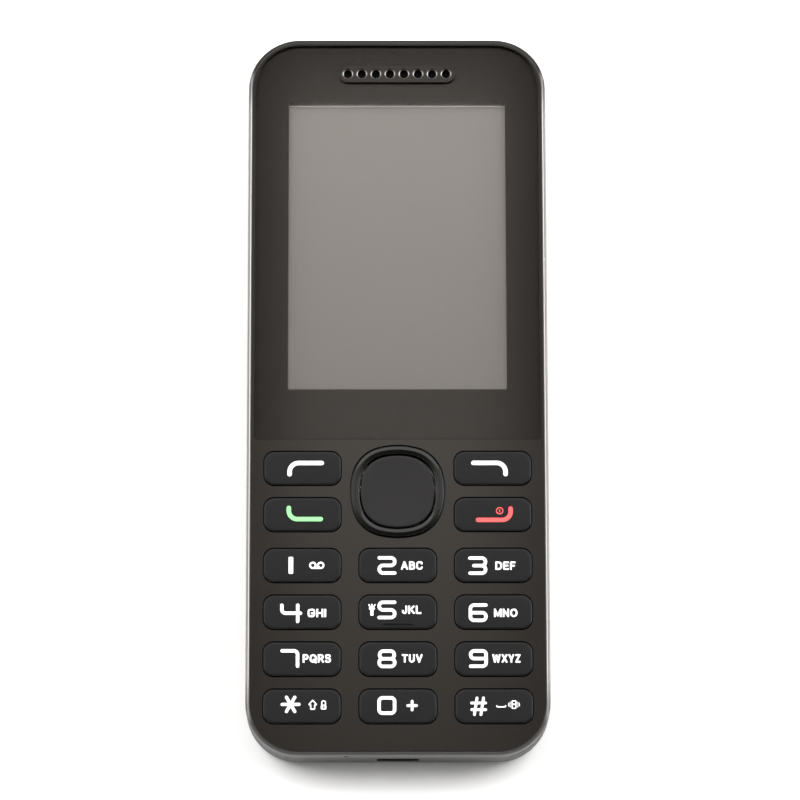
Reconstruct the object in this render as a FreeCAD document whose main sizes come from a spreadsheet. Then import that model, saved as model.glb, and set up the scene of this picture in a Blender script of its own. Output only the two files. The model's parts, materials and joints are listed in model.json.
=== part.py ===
import FreeCAD, Part
import math
import os
import Sketcher
from FreeCAD import Placement, Rotation, Vector

# A candybar phone lying on its back: X to the right, Y towards the earpiece, Z out of the keypad.
# The origin is on the back face, in the middle of the outline. All sizes are in millimetres.

doc = FreeCAD.newDocument("CandybarPhone")
sheet = doc.addObject("Spreadsheet::Sheet", "Sizes")
sheet.Label = "Sizes"
sizes_written = []
cuts_made = []
sub_parts = []


class Size:
    """A number that also keeps the expression which makes it from the sheet."""

    def __init__(self, value, text):
        self.value = float(value)
        self.text = text

    def __add__(self, other):
        other = as_size(other)
        return Size(self.value + other.value, f"({self.text} + {other.text})")

    __radd__ = __add__

    def __sub__(self, other):
        other = as_size(other)
        return Size(self.value - other.value, f"({self.text} - {other.text})")

    def __rsub__(self, other):
        return as_size(other) - self

    def __mul__(self, other):
        other = as_size(other)
        return Size(self.value * other.value, f"({self.text} * {other.text})")

    __rmul__ = __mul__

    def __truediv__(self, other):
        other = as_size(other)
        return Size(self.value / other.value, f"({self.text} / {other.text})")

    def __neg__(self):
        return Size(-self.value, f"(0 - {self.text})")


def as_size(number):
    """A plain number as a Size, and a Size as it is."""
    if isinstance(number, Size):
        return number
    return Size(number, f"({float(number)})")


def driving(alias, number, note):
    """Write one driving dimension in the sheet and return it."""
    line = len(sizes_written) + 1
    sheet.set(f"A{line}", alias)
    sheet.set(f"B{line}", str(number))
    sheet.set(f"C{line}", note)
    sheet.setAlias(f"B{line}", alias)
    sizes_written.append(alias)
    return Size(number, f"Sizes.{alias}")


# Outline and depth of the whole phone
body_width = driving("body_width", 50.8, "across the grey band")
body_length = driving("body_length", 124.1, "bottom end to top end")
body_depth = driving("body_depth", 10.8, "back face to front face")
corner_radius = driving("corner_radius", 8.8, "plan corner of the outline")
back_edge_radius = driving("back_edge_radius", 2.6, "rounding between the back and the sides")
band_depth = driving("band_depth", 3.35, "rim of the rear cover below the front face")
seam_gap = driving("seam_gap", 0.05, "line between rear cover and band")
running_gap = driving("running_gap", 0.05, "between fixed pieces that locate each other")
part_gap = driving("part_gap", 0.2, "between pieces that only pass each other")

# Front housing, band and lens
band_proud = driving("band_proud", 0.6, "band outside the black face, all round")
band_drop = driving("band_drop", 0.35, "top of the band below the front face")
band_edge_radius = driving("band_edge_radius", 0.4, "rounded top edge of the band")
face_edge_radius = driving("face_edge_radius", 0.15, "rounded edge of the black face")
front_plate = driving("front_plate", 1.6, "front housing thickness under the lens")
keypad_relief = driving("keypad_relief", 0.4, "how much thinner the plate is behind the keys")
skirt_inset = driving("skirt_inset", 0.7, "from the black face's edge to the skirt")
skirt_wall = driving("skirt_wall", 0.7, "skirt thickness")
lens_thickness = driving("lens_thickness", 0.8, "display window")
print_thickness = driving("print_thickness", 0.05, "black border printed behind the lens")
print_inset = driving("print_inset", 0.15, "lens edge left unprinted")
print_seat = driving("print_seat", 0.01, "between the lens and its printed border")
adhesive_thickness = driving("adhesive_thickness", 0.15, "tape that holds the lens")
lens_rim = driving("lens_rim", 0.52, "housing rim left round the lens")
lens_gap = driving("lens_gap", 0.08, "between lens and rim")
seam_ledge = driving("seam_ledge", 0.13, "lens seam to the relief behind the keys")
lens_low_radius = driving("lens_low_radius", 0.8, "lower corners of the lens")
lens_edge_radius = driving("lens_edge_radius", 0.12, "rounded lens edge")
window_side = driving("window_side", 6.3, "black face's edge to the clear part")
window_below = driving("window_below", 8.85, "lens seam to the clear part")
window_above = driving("window_above", 5.08, "clear part to the middle of the earpiece")
window_radius = driving("window_radius", 0.3, "corners of the clear part")
window_relief = driving("window_relief", 0.7, "housing opening beyond the clear part")

# Earpiece
earpiece_down = driving("earpiece_down", 6.19, "upper end to the middle of the earpiece")
earpiece_end = driving("earpiece_end", 1.45, "end of the pill to its first sound hole")
earpiece_height = driving("earpiece_height", 2.95, "pill insert")
earpiece_gap = driving("earpiece_gap", 0.1, "round the pill insert")
earpiece_drop = driving("earpiece_drop", 0.08, "insert below the lens face")
earpiece_mesh_thickness = driving("earpiece_mesh_thickness", 0.1, "dust mesh")
earpiece_hole_count = 8
earpiece_pitch = driving("earpiece_pitch", 2.407, "between sound holes")
earpiece_hole = driving("earpiece_hole", 0.72, "radius of a sound hole")
earpiece_chamfer = driving("earpiece_chamfer", 0.26, "funnel of a sound hole")
receiver_width = driving("receiver_width", 15.0, "sound capsule behind the earpiece")
receiver_length = driving("receiver_length", 5.2, "sound capsule behind the earpiece")
receiver_mouth = driving("receiver_mouth", 1.6, "slot in the sound capsule")

# Keys
key_side = driving("key_side", 2.37, "black face's edge to the keys")
column_gap = driving("column_gap", 3.05, "between key columns")
row_gap = driving("row_gap", 2.15, "between key rows")
low_margin = driving("low_margin", 5.2, "lower end to the last row of keys")
key_height = driving("key_height", 5.8, "key cap along the body")
key_corner = driving("key_corner", 1.75, "plan corner of a key cap")
key_gap = driving("key_gap", 0.15, "between cap and opening")
key_proud = driving("key_proud", 0.22, "cap above the front face")
key_edge_radius = driving("key_edge_radius", 0.22, "rounded edge of a cap")
key_travel = driving("key_travel", 0.25, "press of a key")
flange_margin = driving("flange_margin", 0.5, "flange beyond the cap")
flange_thickness = driving("flange_thickness", 0.5, "flange under the housing")
plunger_radius = driving("plunger_radius", 1.1, "post that presses the dome")
tactile_length = driving("tactile_length", 5.2, "raised bar on key 5")
tactile_width = driving("tactile_width", 0.5, "raised bar on key 5")
tactile_height = driving("tactile_height", 0.2, "raised bar on key 5")
tactile_edge = driving("tactile_edge", 0.8, "lower edge of key 5 to its raised bar")

# Navigation ring
nav_side_gap = driving("nav_side_gap", 1.76, "ring to the keys beside it")
nav_row_gap = driving("nav_row_gap", 2.005, "ring to the key below it")
nav_seam_gap = driving("nav_seam_gap", 1.225, "ring to the lens seam")
nav_gap = driving("nav_gap", 0.3, "between ring and housing")
nav_band = driving("nav_band", 1.33, "width of the ring's ridge")
nav_proud = driving("nav_proud", 0.5, "crest above the front face")
nav_crest_radius = driving("nav_crest_radius", 0.55, "rounding of the ridge")
nav_flange_drop = driving("nav_flange_drop", 0.35, "room for the ring to tilt")
nav_pad_gap = driving("nav_pad_gap", 0.3, "between ring and its backing pad")
nav_pad_thickness = driving("nav_pad_thickness", 0.4, "backing pad")
nav_nub_height = driving("nav_nub_height", 0.25, "nub under the pad")
nav_nub_radius = driving("nav_nub_radius", 0.9, "nub under the pad")
nav_nub_inset = driving("nav_nub_inset", 0.45, "outside of the ring to a nub's middle")
ok_gap = driving("ok_gap", 0.2, "between ring and centre key")
ok_proud = driving("ok_proud", 0.1, "centre key above the front face")

# Keypad layers
board_thickness = driving("board_thickness", 0.8, "main board")
film_thickness = driving("film_thickness", 0.08, "film over the domes")
dome_radius = driving("dome_radius", 2.0, "snap dome")
dome_height = driving("dome_height", 0.3, "snap dome")
dome_wall = driving("dome_wall", 0.08, "snap dome sheet")
dome_clearance = driving("dome_clearance", 0.35, "plunger above the dome at rest")
dome_gap = driving("dome_gap", 0.15, "film round each dome")
mat_clearance = driving("mat_clearance", 0.08, "pressed flange above the mat")
mat_skin = driving("mat_skin", 0.95, "thickness of the silicone web")
mat_rim = driving("mat_rim", 0.7, "rim that the mat stands on")
mat_hole_gap = driving("mat_hole_gap", 0.4, "round each plunger")
mat_inset = driving("mat_inset", 0.15, "edge of the board to the mat")
lamp_width = driving("lamp_width", 1.6, "keypad lamp")
lamp_length = driving("lamp_length", 0.8, "keypad lamp")
lamp_height = driving("lamp_height", 0.45, "keypad lamp")

# Display module
display_margin = driving("display_margin", 1.9, "backlight frame beyond the clear width")
display_chin = driving("display_chin", 4.18, "module below the clear part")
display_brow = driving("display_brow", 2.37, "module above the clear part")
display_depth = driving("display_depth", 1.75, "module thickness")
display_foam = driving("display_foam", 0.2, "between module and housing")
panel_depth = driving("panel_depth", 0.9, "glass panel thickness")
tray_wall = driving("tray_wall", 0.35, "backlight frame wall")
ribbon_width = driving("ribbon_width", 14.0, "ribbon of the display")
ribbon_thickness = driving("ribbon_thickness", 0.12, "ribbon of the display")

# Rear cover, middle housing and battery
cover_wall = driving("cover_wall", 1.1, "rear cover side wall")
cover_floor = driving("cover_floor", 1.0, "rear cover back")
cover_gap = driving("cover_gap", 0.15, "between rear cover and middle housing")
housing_wall = driving("housing_wall", 0.9, "middle housing walls")
housing_floor = driving("housing_floor", 0.85, "middle housing back")
housing_web = driving("housing_web", 0.5, "middle housing sheet under the board")
battery_side = driving("battery_side", 5.4, "side of the phone to the battery")
upper_room = driving("upper_room", 37.85, "upper end to the battery bay")
lower_room = driving("lower_room", 32.05, "lower end to the battery bay")
battery_gap = driving("battery_gap", 0.2, "round the battery")
battery_drop = driving("battery_drop", 0.1, "rear cover to battery")
battery_card_gap = driving("battery_card_gap", 0.07, "battery to the card holders")
battery_edge_radius = driving("battery_edge_radius", 0.6, "battery edges")
contact_step = driving("contact_step", 2.5, "between battery contacts")
contact_width = driving("contact_width", 1.6, "battery contact plates")
contact_thickness = driving("contact_thickness", 0.08, "battery contact plates")
contact_rise = driving("contact_rise", 1.7, "battery's back to its contacts")
spring_width = driving("spring_width", 0.8, "contact springs")
spring_height = driving("spring_height", 0.6, "contact springs")
connector_margin = driving("connector_margin", 2.1, "connector beyond its outer contact")
connector_depth = driving("connector_depth", 2.55, "battery connector along the body")

# Screws and bosses
screw_radius = driving("screw_radius", 0.55, "screw shank")
screw_head_radius = driving("screw_head_radius", 1.1, "screw head")
screw_head_height = driving("screw_head_height", 0.7, "screw head")
screw_length = driving("screw_length", 3.4, "screw shank")
screw_head_gap = driving("screw_head_gap", 0.15, "round each screw head")
boss_wall = driving("boss_wall", 0.6, "plastic round a screw's pilot hole")
column_wall = driving("column_wall", 0.5, "plastic round a boss in the middle housing")
shoulder_height = driving("shoulder_height", 4.4, "face under the screw heads")
shoulder_depth = driving("shoulder_depth", 0.9, "plastic that a screw clamps")
top_screw_side = driving("top_screw_side", 5.6, "side of the phone to the upper screws")
top_screw_down = driving("top_screw_down", 6.0, "upper end to the upper screws")
side_screw_side = driving("side_screw_side", 3.6, "side of the phone to the side screws")
side_screw_up = driving("side_screw_up", 2.47, "lens seam to the side screws")
low_screw_side = driving("low_screw_side", 10.4, "side of the phone to the lower screws")
low_screw_up = driving("low_screw_up", 3.3, "lower end to the lower screws")
board_gap = driving("board_gap", 0.3, "board to the screw bosses")

# Sockets
usb_width = driving("usb_width", 7.1, "opening in the rear cover")
usb_height = driving("usb_height", 2.35, "opening in the rear cover")
usb_wall = driving("usb_wall", 0.3, "steel shell of the socket")
usb_length = driving("usb_length", 5.4, "steel shell of the socket")
usb_step = driving("usb_step", 0.7, "slanted lower corners of the socket")
usb_tongue = driving("usb_tongue", 0.6, "thickness of the contact tongue")
usb_tongue_width = driving("usb_tongue_width", 3.7, "contact tongue")
jack_side = driving("jack_side", 1.2, "socket body beside its bore")
jack_wall = driving("jack_wall", 0.4, "socket body behind its bore")
jack_back = driving("jack_back", 0.8, "socket body past the end of its bore")
jack_inset = driving("jack_inset", 6.3, "upper right screw to the socket")
jack_drop = driving("jack_drop", 2.25, "board to the socket's axis")
jack_bore = driving("jack_bore", 1.8, "socket bore radius")
jack_bore_length = driving("jack_bore_length", 13.2, "socket bore")
jack_window_gap = driving("jack_window_gap", 1.1, "hole in the rear cover round the bore")
microphone_inset = driving("microphone_inset", 6.4, "lower left screw to the microphone")
microphone_drop = driving("microphone_drop", 2.1, "sound hole below the front face")
microphone_hole = driving("microphone_hole", 0.4, "sound hole radius")
microphone_width = driving("microphone_width", 3.0, "microphone")
microphone_rise = driving("microphone_rise", 0.5, "microphone above its sound hole")

# Camera, torch and loudspeaker, seen from behind
camera_x = driving("camera_x", -10.0, "camera from the middle")
camera_down = driving("camera_down", 16.05, "upper end to the camera")
camera_window_radius = driving("camera_window_radius", 3.2, "camera window")
camera_window_thickness = driving("camera_window_thickness", 0.55, "camera window")
camera_ring_wall = driving("camera_ring_wall", 0.85, "metal ring round the window")
camera_barrel = driving("camera_barrel", 2.9, "lens barrel radius")
camera_barrel_gap = driving("camera_barrel_gap", 0.7, "rear cover's inside to the barrel")
camera_pupil = driving("camera_pupil", 1.2, "opening in front of the lens, radius")
camera_size = driving("camera_size", 8.0, "square base of the camera")
camera_rise = driving("camera_rise", 0.9, "housing floor to the camera's base")
torch_x = driving("torch_x", -1.5, "torch from the middle")
torch_radius = driving("torch_radius", 1.5, "torch lens")
torch_led_size = driving("torch_led_size", 2.2, "lamp behind the torch lens")
torch_led_height = driving("torch_led_height", 0.7, "lamp behind the torch lens")
speaker_x = driving("speaker_x", 9.0, "loudspeaker from the middle")
speaker_down = driving("speaker_down", 27.05, "upper end to the loudspeaker")
speaker_width = driving("speaker_width", 15.0, "loudspeaker")
speaker_length = driving("speaker_length", 11.0, "loudspeaker")
speaker_depth = driving("speaker_depth", 3.2, "loudspeaker")
speaker_rim = driving("speaker_rim", 1.5, "rim round the cone")
speaker_cone_depth = driving("speaker_cone_depth", 0.8, "hollow of the cone")
speaker_mesh_thickness = driving("speaker_mesh_thickness", 0.1, "dust mesh")
speaker_hole = driving("speaker_hole", 0.55, "radius of a speaker hole")
speaker_pitch = driving("speaker_pitch", 1.9, "between speaker holes")
speaker_row_pitch = driving("speaker_row_pitch", 1.65, "between rows of speaker holes")
pry_side = driving("pry_side", 6.8, "side of the phone to the left end of the pry slot")
pry_up = driving("pry_up", 5.05, "lower end to the upper end of the pry slot")
pry_height = driving("pry_height", 0.45, "height of the pry slot")

# Cards
sim_width = driving("sim_width", 15.0, "subscriber card")
sim_length = driving("sim_length", 25.0, "subscriber card")
sim_depth = driving("sim_depth", 0.76, "subscriber card")
sim_notch = driving("sim_notch", 2.5, "cut corner of the subscriber card")
sim_grip = driving("sim_grip", 14.6, "length of card that the holder covers")
memory_width = driving("memory_width", 11.0, "memory card")
memory_length = driving("memory_length", 15.0, "memory card")
memory_depth = driving("memory_depth", 0.7, "memory card")
memory_notch = driving("memory_notch", 1.2, "cut corner of the memory card")
memory_grip = driving("memory_grip", 11.0, "length of card that the slot covers")
card_gap = driving("card_gap", 0.08, "round each card in its holder")
card_side = driving("card_side", 1.0, "battery bay's side to a card holder")
card_stop_down = driving("card_stop_down", 1.6, "battery bay's upper end to the holders' closed end")
holder_wall = driving("holder_wall", 0.7, "side rails of the holders")
holder_lid = driving("holder_lid", 0.13, "sheet steel of the holders")

# Small parts
can_gap = driving("can_gap", 2.5, "edge of the board to the shield cans")
can_length = driving("can_length", 11.0, "shield cans along the body")
can_lower_width = driving("can_lower_width", 24.0, "lower shield can")
can_height = driving("can_height", 1.2, "shield cans")
aerial_width = driving("aerial_width", 16.0, "antenna sheet")
aerial_length = driving("aerial_length", 10.5, "antenna sheet")
aerial_thickness = driving("aerial_thickness", 0.15, "antenna sheet")
aerial_side = driving("aerial_side", 2.25, "housing wall to the antenna")
aerial_up = driving("aerial_up", 4.4, "lower housing wall to the antenna")
aerial_leg = driving("aerial_leg", 1.0, "contact leg of the antenna")
motor_side = driving("motor_side", 3.25, "housing wall to the motor can")
motor_up = driving("motor_up", 12.05, "lower end to the motor's axis")
motor_rise = driving("motor_rise", 0.2, "housing floor to the motor can")
motor_radius = driving("motor_radius", 2.0, "motor can")
motor_length = driving("motor_length", 8.0, "motor can")
shaft_radius = driving("shaft_radius", 0.4, "motor shaft")
shaft_gap = driving("shaft_gap", 0.03, "between shaft and weight")
shaft_end = driving("shaft_end", 0.3, "shaft past the weight")
weight_length = driving("weight_length", 3.2, "eccentric weight")
weight_start = driving("weight_start", 0.5, "from can to weight")
weight_cover = driving("weight_cover", 0.35, "thin side of the weight over its shaft")

# How far a cutting shape runs past the solid that it cuts
past = as_size(1)
# What an end radius lacks to a full half circle, so that a straight side is left
almost = as_size(0.02)

# Outlines that follow from the sizes
half_x = body_width / 2
half_y = body_length / 2
face_x = half_x - band_proud
face_y = half_y - band_proud
face_corner = corner_radius - band_proud
skirt_x = face_x - skirt_inset
skirt_y = face_y - skirt_inset
skirt_corner = face_corner - skirt_inset
cavity_x = skirt_x - skirt_wall
cavity_y = skirt_y - skirt_wall
cavity_corner = skirt_corner - skirt_wall
cover_x = half_x - cover_wall
cover_y = half_y - cover_wall
cover_corner = corner_radius - cover_wall
housing_x = cover_x - cover_gap
housing_y = cover_y - cover_gap
housing_corner = cover_corner - cover_gap
well_x = housing_x - housing_wall
well_y = housing_y - housing_wall
well_corner = housing_corner - housing_wall

# Keys and ring, counted up from the lower end to the lens seam
key_width = (face_x * 2 - key_side * 2 - column_gap * 2) / 3
column_pitch = key_width + column_gap
row_pitch = key_height + row_gap
last_row = -half_y + low_margin + key_height / 2
first_row = last_row + row_pitch * 3
nav_half = column_pitch - key_width / 2 - nav_side_gap
nav_inner = nav_half - nav_band
nav_reach = nav_half - nav_nub_inset
nav_middle = first_row + key_height / 2 + nav_row_gap + nav_half
call_row = nav_middle - row_pitch / 2
soft_row = nav_middle + row_pitch / 2
lens_low = nav_middle + nav_half + nav_seam_gap
keypad_top = nav_middle + nav_reach + dome_radius + dome_gap + mat_rim

# Lens, window, earpiece and display
lens_x = face_x - lens_rim - lens_gap
lens_high = face_y - lens_rim - lens_gap
lens_corner = face_corner - lens_rim - lens_gap
earpiece_middle = half_y - earpiece_down
earpiece_span = earpiece_pitch * (earpiece_hole_count - 1)
earpiece_width = earpiece_span + earpiece_end * 2
window_width = face_x * 2 - window_side * 2
window_low = lens_low + window_below
window_high = earpiece_middle - window_above
display_low = window_low - display_chin
display_high = window_high + display_brow

# Levels, from the front face down to the board and from the back face up
seam_height = body_depth - band_depth
skirt_low = seam_height + seam_gap
plate_under = body_depth - front_plate
key_under = plate_under + keypad_relief
ledge_top = body_depth - lens_thickness - print_thickness - adhesive_thickness
board_top = plate_under - display_foam - display_depth - running_gap
board_under = board_top - board_thickness
web_top = board_under - running_gap
web_under = web_top - housing_web
film_top = board_top + film_thickness
flange_top = key_under - running_gap
flange_under = flange_top - flange_thickness
plunger_under = board_top + dome_height + dome_clearance
mat_top = flange_under - key_travel - mat_clearance
housing_back = cover_floor + cover_gap
housing_inner_back = housing_back + housing_floor
housing_top = seam_height - seam_gap
column_top = shoulder_height + shoulder_depth
boss_low = column_top + running_gap

# Screws
boss_radius = screw_radius + running_gap + boss_wall
column_radius = boss_radius + running_gap * 2 + column_wall
top_screw_x = half_x - top_screw_side
top_screw_y = half_y - top_screw_down
side_screw_x = half_x - side_screw_side
side_screw_y = lens_low + side_screw_up
low_screw_x = half_x - low_screw_side
low_screw_y = -half_y + low_screw_up
screw_places = [
    (-top_screw_x, top_screw_y),
    (top_screw_x, top_screw_y),
    (-side_screw_x, side_screw_y),
    (side_screw_x, side_screw_y),
    (-low_screw_x, low_screw_y),
    (low_screw_x, low_screw_y),
]

# Board, battery, cards and sockets
board_x = side_screw_x - boss_radius - board_gap
board_low = low_screw_y + boss_radius + board_gap
board_high = top_screw_y - boss_radius - board_gap
board_tab_x = low_screw_x - boss_radius - board_gap
board_tab_low = -cavity_y + board_gap
card_level = web_under - running_gap
battery_low = cover_floor + battery_drop
battery_high = card_level - sim_depth - card_gap / 2 - holder_lid - battery_card_gap
battery_x = half_x - battery_side
bay_x = battery_x + battery_gap
bay_low = -half_y + lower_room
bay_high = half_y - upper_room
connector_x = contact_step + connector_margin
card_stop_y = bay_high - card_stop_down
sim_x = bay_x - card_side - holder_wall - card_gap - sim_width / 2
memory_x = -bay_x + card_side + holder_wall + card_gap + memory_width / 2
usb_middle = web_top - usb_height / 2
jack_x = top_screw_x - jack_inset
jack_height = board_under - jack_drop
jack_body_width = jack_bore * 2 + jack_side * 2
jack_body_length = jack_bore_length + jack_back
jack_body_floor = jack_height - jack_bore - jack_wall
microphone_x = -low_screw_x + microphone_inset
microphone_height = body_depth - microphone_drop
camera_y = half_y - camera_down
camera_low = housing_inner_back + camera_rise
speaker_y = half_y - speaker_down
motor_start = -well_x + motor_side
motor_y = -half_y + motor_up
motor_height = housing_inner_back + motor_rise + motor_radius

# Each key's column, row and name
digit_rows = [
    ("key_1", "key_2", "key_3"),
    ("key_4", "key_5", "key_6"),
    ("key_7", "key_8", "key_9"),
    ("key_star", "key_0", "key_hash"),
]
key_places = {
    "soft_key_left": (-column_pitch, soft_row),
    "soft_key_right": (column_pitch, soft_row),
    "send_key": (-column_pitch, call_row),
    "end_key": (column_pitch, call_row),
}
for row_number, row_names in enumerate(digit_rows):
    for column_number, key_name in enumerate(row_names):
        key_places[key_name] = (column_pitch * (column_number - 1), first_row - row_pitch * row_number)
lamp_places = []
for column_share in (-0.5, 0.5):
    for row_share in (-0.5, 0.5, 2.5):
        lamp_places.append((column_pitch * column_share, first_row - row_pitch * row_share))
nav_dome_places = [
    (as_size(0), nav_middle),
    (-nav_reach, nav_middle),
    (nav_reach, nav_middle),
    (as_size(0), nav_middle - nav_reach),
    (as_size(0), nav_middle + nav_reach),
]


def bind(thing, path, size):
    """Tie one property to its expression."""
    thing.setExpression(path, as_size(size).text)


def place(thing, x=0, y=0, z=0):
    """Move an object to a place worked out from the sheet."""
    for axis, size in zip("xyz", (x, y, z)):
        bind(thing, f"Placement.Base.{axis}", size)


def span(middle, size):
    """The two limits of a size round its middle."""
    return as_size(middle) - size / 2, as_size(middle) + size / 2


def keep(label, thing):
    """Name a finished sub-part."""
    thing.Label = label
    sub_parts.append(thing)
    return thing


# Sketches

def sketch_on(body, name, level=0, plane="XY_Plane", middle=(0, 0)):
    """A sketch on one of the body's own planes, moved along its normal and within it."""
    sketch = body.newObject("Sketcher::SketchObject", f"{body.Name}_{name}")
    support = next(face for face in body.Origin.OriginFeatures if face.Role == plane)
    sketch.AttachmentSupport = [(support, "")]
    sketch.MapMode = "FlatFace"
    for axis, size in zip("xyz", (middle[0], middle[1], level)):
        bind(sketch, f"AttachmentOffset.Base.{axis}", size)
    return sketch


def hold(sketch, kind, where, size):
    """Add one dimension to a sketch and tie it to the sheet."""
    size = as_size(size)
    index = sketch.addConstraint(Sketcher.Constraint(kind, *where, size.value))
    bind(sketch, f"Constraints[{index}]", size)


def circle(sketch, x, y, radius):
    """A circle held by its centre and radius."""
    x, y, radius = as_size(x), as_size(y), as_size(radius)
    shape = Part.Circle(Vector(x.value, y.value, 0), Vector(0, 0, 1), radius.value)
    index = sketch.addGeometry(shape, False)
    hold(sketch, "DistanceX", (-1, 1, index, 3), x)
    hold(sketch, "DistanceY", (-1, 1, index, 3), y)
    hold(sketch, "Radius", (index,), radius)


def outline(sketch, corners):
    """A closed outline of straight sides, held by the place of each corner."""
    corners = [(as_size(x), as_size(y)) for x, y in corners]
    first = sketch.GeometryCount
    sides = []
    joints = []
    for number, (x, y) in enumerate(corners):
        next_x, next_y = corners[(number + 1) % len(corners)]
        sides.append(Part.LineSegment(Vector(x.value, y.value, 0), Vector(next_x.value, next_y.value, 0)))
        following = first + (number + 1) % len(corners)
        joints.append(Sketcher.Constraint("Coincident", first + number, 2, following, 1))
    sketch.addGeometry(sides, False)
    sketch.addConstraint(joints)
    for number, (x, y) in enumerate(corners):
        hold(sketch, "DistanceX", (-1, 1, first + number, 1), x)
        hold(sketch, "DistanceY", (-1, 1, first + number, 1), y)


def rounded(sketch, x_limits, y_limits, radii):
    """A rectangle with an arc at each corner, the lower left one first and then anticlockwise."""
    left, right = (as_size(limit) for limit in x_limits)
    low, high = (as_size(limit) for limit in y_limits)
    if not isinstance(radii, tuple):
        radii = (radii,) * 4
    low_left, low_right, high_right, high_left = (as_size(radius) for radius in radii)
    first = sketch.GeometryCount

    def line(x0, y0, x1, y1):
        return Part.LineSegment(Vector(x0, y0, 0), Vector(x1, y1, 0))

    def corner(x, y, radius, quarter):
        ring = Part.Circle(Vector(x, y, 0), Vector(0, 0, 1), radius)
        return Part.ArcOfCircle(ring, quarter * math.pi / 2, (quarter + 1) * math.pi / 2)

    l, r, b, t = left.value, right.value, low.value, high.value
    ll, lr, hr, hl = low_left.value, low_right.value, high_right.value, high_left.value
    sketch.addGeometry([
        line(l + ll, b, r - lr, b),
        corner(r - lr, b + lr, lr, -1),
        line(r, b + lr, r, t - hr),
        corner(r - hr, t - hr, hr, 0),
        line(r - hr, t, l + hl, t),
        corner(l + hl, t - hl, hl, 1),
        line(l, t - hl, l, b + ll),
        corner(l + ll, b + ll, ll, 2),
    ], False)
    rules = [Sketcher.Constraint("Tangent", first + side, 2, first + (side + 1) % 8, 1) for side in range(8)]
    rules += [Sketcher.Constraint("Horizontal", first), Sketcher.Constraint("Horizontal", first + 4)]
    rules += [Sketcher.Constraint("Vertical", first + 2), Sketcher.Constraint("Vertical", first + 6)]
    sketch.addConstraint(rules)
    hold(sketch, "DistanceX", (-1, 1, first + 6, 1), left)
    hold(sketch, "DistanceX", (-1, 1, first + 2, 1), right)
    hold(sketch, "DistanceY", (-1, 1, first, 1), low)
    hold(sketch, "DistanceY", (-1, 1, first + 4, 1), high)
    for side, radius in ((7, low_left), (1, low_right), (3, high_right), (5, high_left)):
        hold(sketch, "Radius", (first + side,), radius)


# The ring and the centre key are a bulging square: four shallow arcs joined by four tighter ones,
# each a share of the half size.
BULGE_RADIUS = 1.6
BULGE_CORNER = 0.764
BULGE_CORNER_PLACE = 0.20928


def cushion(sketch, half):
    """A bulging square round the sketch's own origin."""
    half = as_size(half)
    side_radius = half * BULGE_RADIUS
    corner_radius_here = half * BULGE_CORNER
    centre_back = side_radius - half
    h = half.value
    meet = math.atan2(BULGE_CORNER_PLACE, BULGE_RADIUS - 1 + BULGE_CORNER_PLACE)
    first = sketch.GeometryCount
    arcs = []
    for quarter in range(4):
        turn = quarter * math.pi / 2
        middle = Vector(-centre_back.value * math.cos(turn), -centre_back.value * math.sin(turn), 0)
        ring = Part.Circle(middle, Vector(0, 0, 1), side_radius.value)
        arcs.append(Part.ArcOfCircle(ring, turn - meet, turn + meet))
        diagonal = turn + math.pi / 4
        reach = BULGE_CORNER_PLACE * math.sqrt(2) * h
        middle = Vector(reach * math.cos(diagonal), reach * math.sin(diagonal), 0)
        ring = Part.Circle(middle, Vector(0, 0, 1), corner_radius_here.value)
        arcs.append(Part.ArcOfCircle(ring, turn + meet, turn + math.pi / 2 - meet))
    sketch.addGeometry(arcs, False)
    rules = [Sketcher.Constraint("Tangent", first + arc, 2, first + (arc + 1) % 8, 1) for arc in range(8)]
    sketch.addConstraint(rules)
    for quarter, (along, across, sign) in enumerate((
        ("DistanceX", "DistanceY", -1),
        ("DistanceY", "DistanceX", -1),
        ("DistanceX", "DistanceY", 1),
        ("DistanceY", "DistanceX", 1),
    )):
        side = first + 2 * quarter
        hold(sketch, along, (-1, 1, side, 3), centre_back * sign)
        hold(sketch, across, (-1, 1, side, 3), 0)
        hold(sketch, "Radius", (side,), side_radius)
        hold(sketch, "Radius", (side + 1,), corner_radius_here)


# Features

def new_body(name):
    """A part design body that becomes one sub-part."""
    return keep(name, doc.addObject("PartDesign::Body", name))


def pad(body, sketch, height):
    """Solid from a sketch, upwards along its normal."""
    feature = body.newObject("PartDesign::Pad", f"{sketch.Name}_pad")
    feature.Profile = sketch
    bind(feature, "Length", height)
    return feature


def pocket(body, sketch, depth, upwards=False):
    """A cut from a sketch, against its normal unless it goes upwards."""
    feature = body.newObject("PartDesign::Pocket", f"{sketch.Name}_pocket")
    feature.Profile = sketch
    feature.Reversed = upwards
    bind(feature, "Length", depth)
    cuts_made.append(feature)
    return feature


def dress(body, kind, name, size, chosen):
    """A fillet or chamfer on the edges of the body's last feature that a test picks out."""
    doc.recompute()
    base = body.Tip
    names = [f"Edge{number}" for number, edge in enumerate(base.Shape.Edges, 1) if chosen(edge)]
    if not names:
        raise RuntimeError(f"{body.Name} has no edge for {name}")
    feature = body.newObject(f"PartDesign::{kind}", f"{body.Name}_{name}")
    feature.Base = (base, names)
    bind(feature, "Radius" if kind == "Fillet" else "Size", size)
    return feature


def is_level(edge, height):
    """Whether an edge lies flat at one height."""
    box = edge.BoundBox
    return abs(box.ZMin - height.value) < 1e-4 and abs(box.ZMax - height.value) < 1e-4


def rim_of(body, height):
    """A test for the outer edges of the body's flat face at one height."""
    doc.recompute()
    flat = [face for face in body.Tip.Shape.Faces
            if abs(face.BoundBox.ZMin - height.value) < 1e-4
            and abs(face.BoundBox.ZMax - height.value) < 1e-4]
    face = max(flat, key=lambda each: each.BoundBox.DiagonalLength)
    rim = face.OuterWire.Edges
    return lambda edge: any(edge.isSame(other) for other in rim)


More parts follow.
